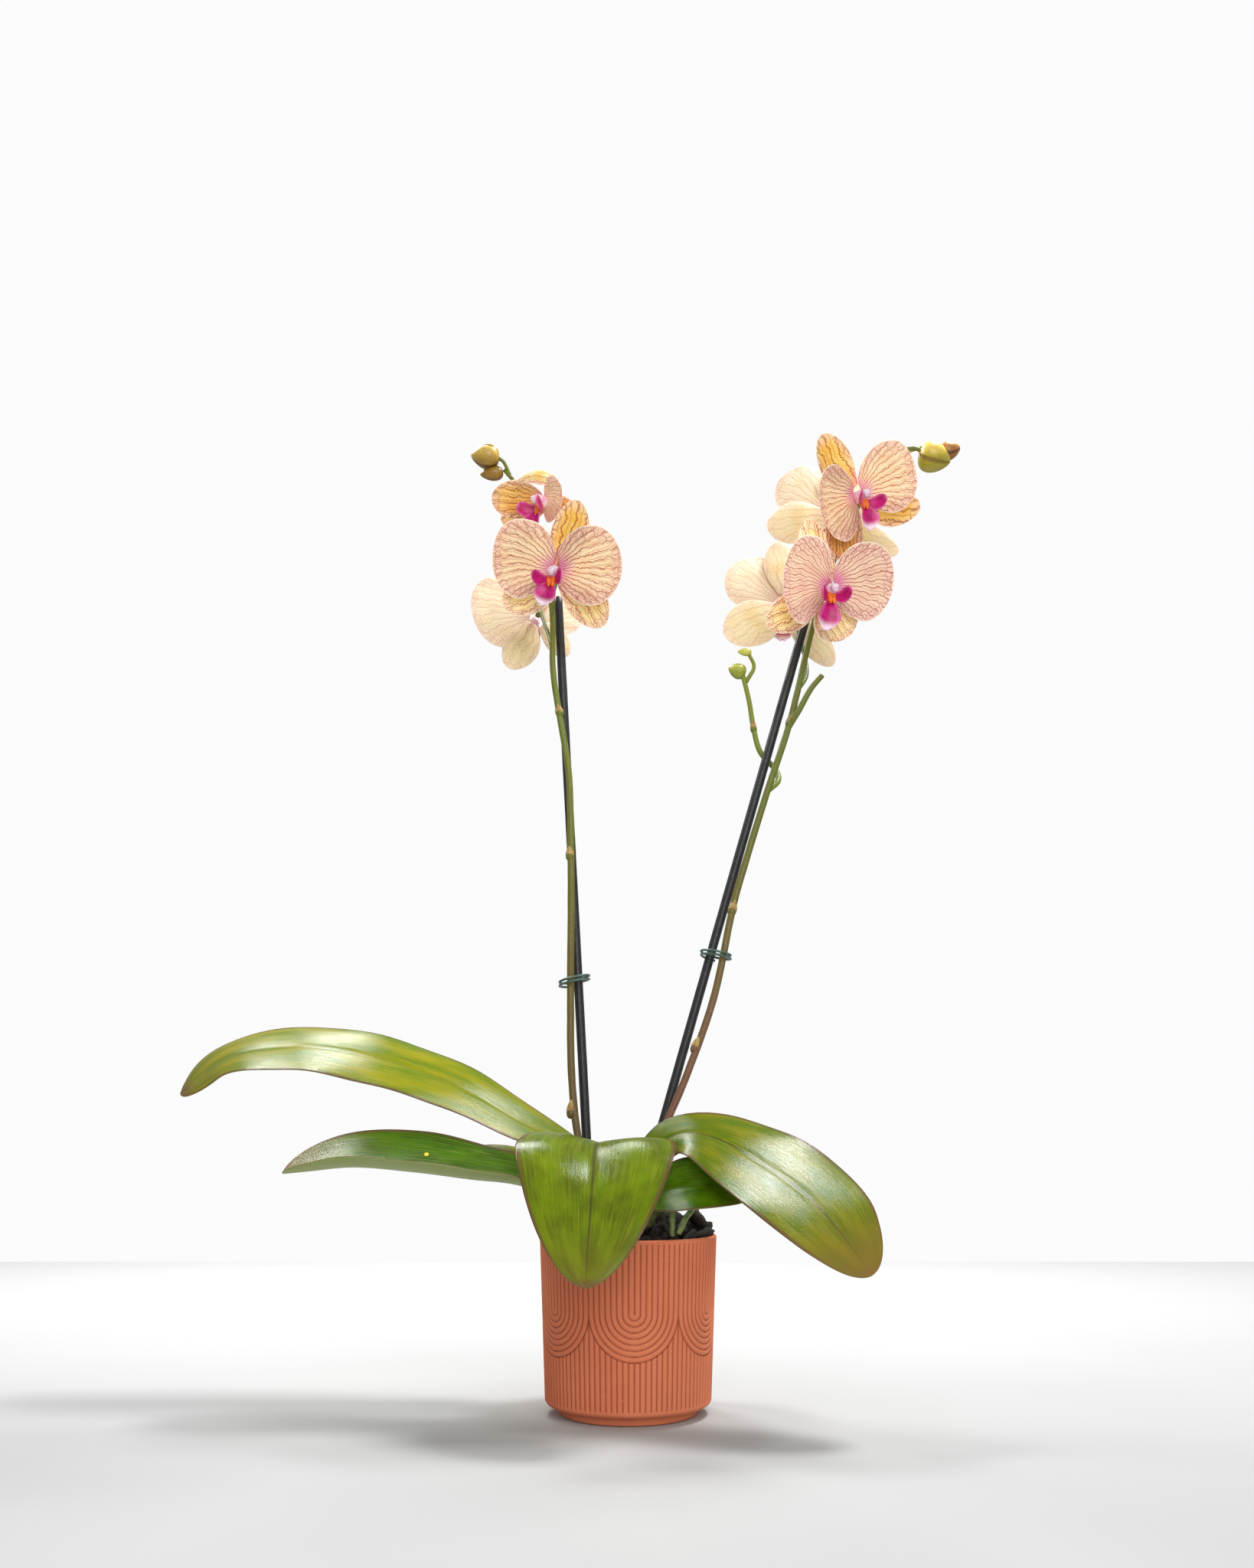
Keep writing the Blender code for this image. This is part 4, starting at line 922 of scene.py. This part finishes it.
g = Parts()
v, f, a = rod(LEFT_STEM, [2.7, 2.7, 2.65, 2.6, 2.5, 2.4, 2.2, 1.9, 1.6], 20, 170, 0.05, 1); g.add(v, f, 0, a)
for start, tag in (((-58, 1, 582), "l1"), ((-76, 3, 668), "l2"), ((-58, 1, 558), "l3")):
    pedicel(g, start, tag)
v, f, a = rod([(-92, 4, 698), (-97, 2, 708), (-104, 0, 711)], [1.5, 1.4, 1.6], 12, 20); g.add(v, f, 0, a)
v, f, a = bud((-111, 0, 711), (-1, 0, 0.1), 22, 19, 0.28); g.add(v, f, 1, a)
v, f, a = bud((-106, 4, 699), (-1, 0, -0.1), 18, 11, 0.28); g.add(v, f, 1, a)
bract(g, (-43, 2, 396), (0, 0, 1), 2)
bract(g, (-41, 2, 208), (0.05, 0, 1), 2, 11)
bract(g, (-52, 2, 506), (-0.25, 0, 1), 2, 8, 2.9)
piece(g.done("look_spike_left", [M["stem_left"], M["bud_gold"], M["bract"]]), "flower_spike_left")

g = Parts()
v, f, a = rod(RIGHT_STEM, [2.7, 2.7, 2.65, 2.6, 2.5, 2.4, 2.2, 1.9, 1.6], 20, 190, 0.05, 2); g.add(v, f, 0, a)
pedicel(g, (180, 0, 674), "r1")
pedicel(g, (148, 0, 600), "r2")
pedicel(g, (168, 0, 650), "r3")
pedicel(g, (128, 2, 522), "r4", [(137, 13, 540), (136, 28, 568)])
for path, radii, mat in (([(121, 2, 494), (128, -2, 505), (137, -4, 521), (146, -4, 532)], [2.4, 2.3, 2.2, 2.0], 0),
                         ([(104, 2, 444), (113, 9, 454), (112, 19, 466), (101, 20, 480), (96, 19, 499), (93, 19, 520), (88, 18, 542)], [2.3, 2.2, 2.0, 1.8], 3),
                         ([(91, 18, 535), (97, 18, 547), (93, 18, 558)], [1.7, 1.5, 1.4], 3),
                         ([(218, 1, 716), (232, 2, 720), (246, 1, 716)], [1.4, 1.4, 1.4], 3)):
    v, f, a = rod(path, radii, 16, 50, 0.05); g.add(v, f, mat, a)
for c, ax, ln, wd, mat in (((238, 0, 710), (1, 0, -0.3), 25, 23, 4), ((250, 0, 716), (1, 0, 0.3), 17, 14, 1),
                           ((84, 18, 544), (-1, 0, 0.4), 14, 12, 5), ((90, 18, 559), (-1, 0, 0.1), 11, 6, 5)):
    v, f, a = bud(c, ax, ln, wd, 0.26); g.add(v, f, mat, a)
bract(g, (49, 2, 254), (0.35, 0, 1), 2, 10)
bract(g, (77, 2, 355), (0.28, 0, 1), 2, 10)
bract(g, (122, 2, 498), (0.32, 0, 1), 2, 9, 2.9)
bract(g, (96, 19, 499), (-0.1, 0, 1), 2, 8, 2.4)
piece(g.done("look_spike_right", [M["stem_right"], M["bud_brown"], M["bract"], M["branch"], M["bud_green"], M["bud_leafy"]]),
      "flower_spike_right")

# --------------------------------------------------------------------- stage
floor_mat = Nodes("studio_floor")
soft = floor_mat.noise(floor_mat.obj(), 3.0, 2.0)
away = floor_mat.n("ShaderNodeSeparateXYZ"); floor_mat.t.links.new(floor_mat.obj(), away.inputs[0])
# painted light: the floor is painted darker near the pot and lighter towards the back, to even out where the lamps
# light it more and less
near = floor_mat.mix(floor_mat.step(soft, 0.3, 0.7), (0.43, 0.433, 0.432), (0.45, 0.453, 0.452))
floor_mat.end(floor_mat.mix(floor_mat.step(away.outputs[1], -0.3, 1.1), near, (0.76, 0.763, 0.76)), 0.7,
              Specular_IOR_Level=0.2)
mesh = bpy.data.meshes.new("studio_floor")
mesh.from_pydata([(-4, -3, -0.0003), (4, -3, -0.0003), (4, 1.13, -0.0003), (-4, 1.13, -0.0003)], [], [(0, 1, 2, 3)])
mesh.materials.append(floor_mat.mat)
floor = bpy.data.objects.new("studio_floor", mesh)
bpy.context.collection.objects.link(floor)
floor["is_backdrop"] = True

world = bpy.data.worlds.new("studio")
bpy.context.scene.world = world
world.use_nodes = True
t = world.node_tree
bg = t.nodes["Background"]
bg.inputs[0].default_value = (1, 1, 1, 1)
bg.inputs[1].default_value = 0.45
seen = t.nodes.new("ShaderNodeBackground")
seen.inputs[0].default_value = (0.99, 0.992, 1.0, 1)
seen.inputs[1].default_value = 0.975
path, mixer = t.nodes.new("ShaderNodeLightPath"), t.nodes.new("ShaderNodeMixShader")
t.links.new(path.outputs["Is Camera Ray"], mixer.inputs[0])
t.links.new(bg.outputs[0], mixer.inputs[1])
t.links.new(seen.outputs[0], mixer.inputs[2])
t.links.new(mixer.outputs[0], t.nodes["World Output"].inputs[0])


def area(name, place, aim, size, power, colour=(1, 1, 1)):
    d = bpy.data.lights.new(name, "AREA")
    d.energy, d.size, d.color = power, size, colour
    d.shape = "SQUARE"
    o = bpy.data.objects.new(name, d)
    bpy.context.collection.objects.link(o)
    o.location = place
    o.rotation_euler = (Vector(aim) - Vector(place)).to_track_quat("-Z", "Y").to_euler()


area("key", (0.56, 0.14, 1.75), (0.02, 0, 0.15), 0.36, 24)
area("window", (-0.72, 0.36, 1.45), (-0.05, -0.05, 0.17), 0.32, 10)
area("rear_strip", (-0.42, 0.90, 1.80), (-0.15, 0.05, 0.24), 0.34, 11)
area("front_fill", (0.3, -1.8, 0.9), (0, 0, 0.35), 1.5, 24)

lo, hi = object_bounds()
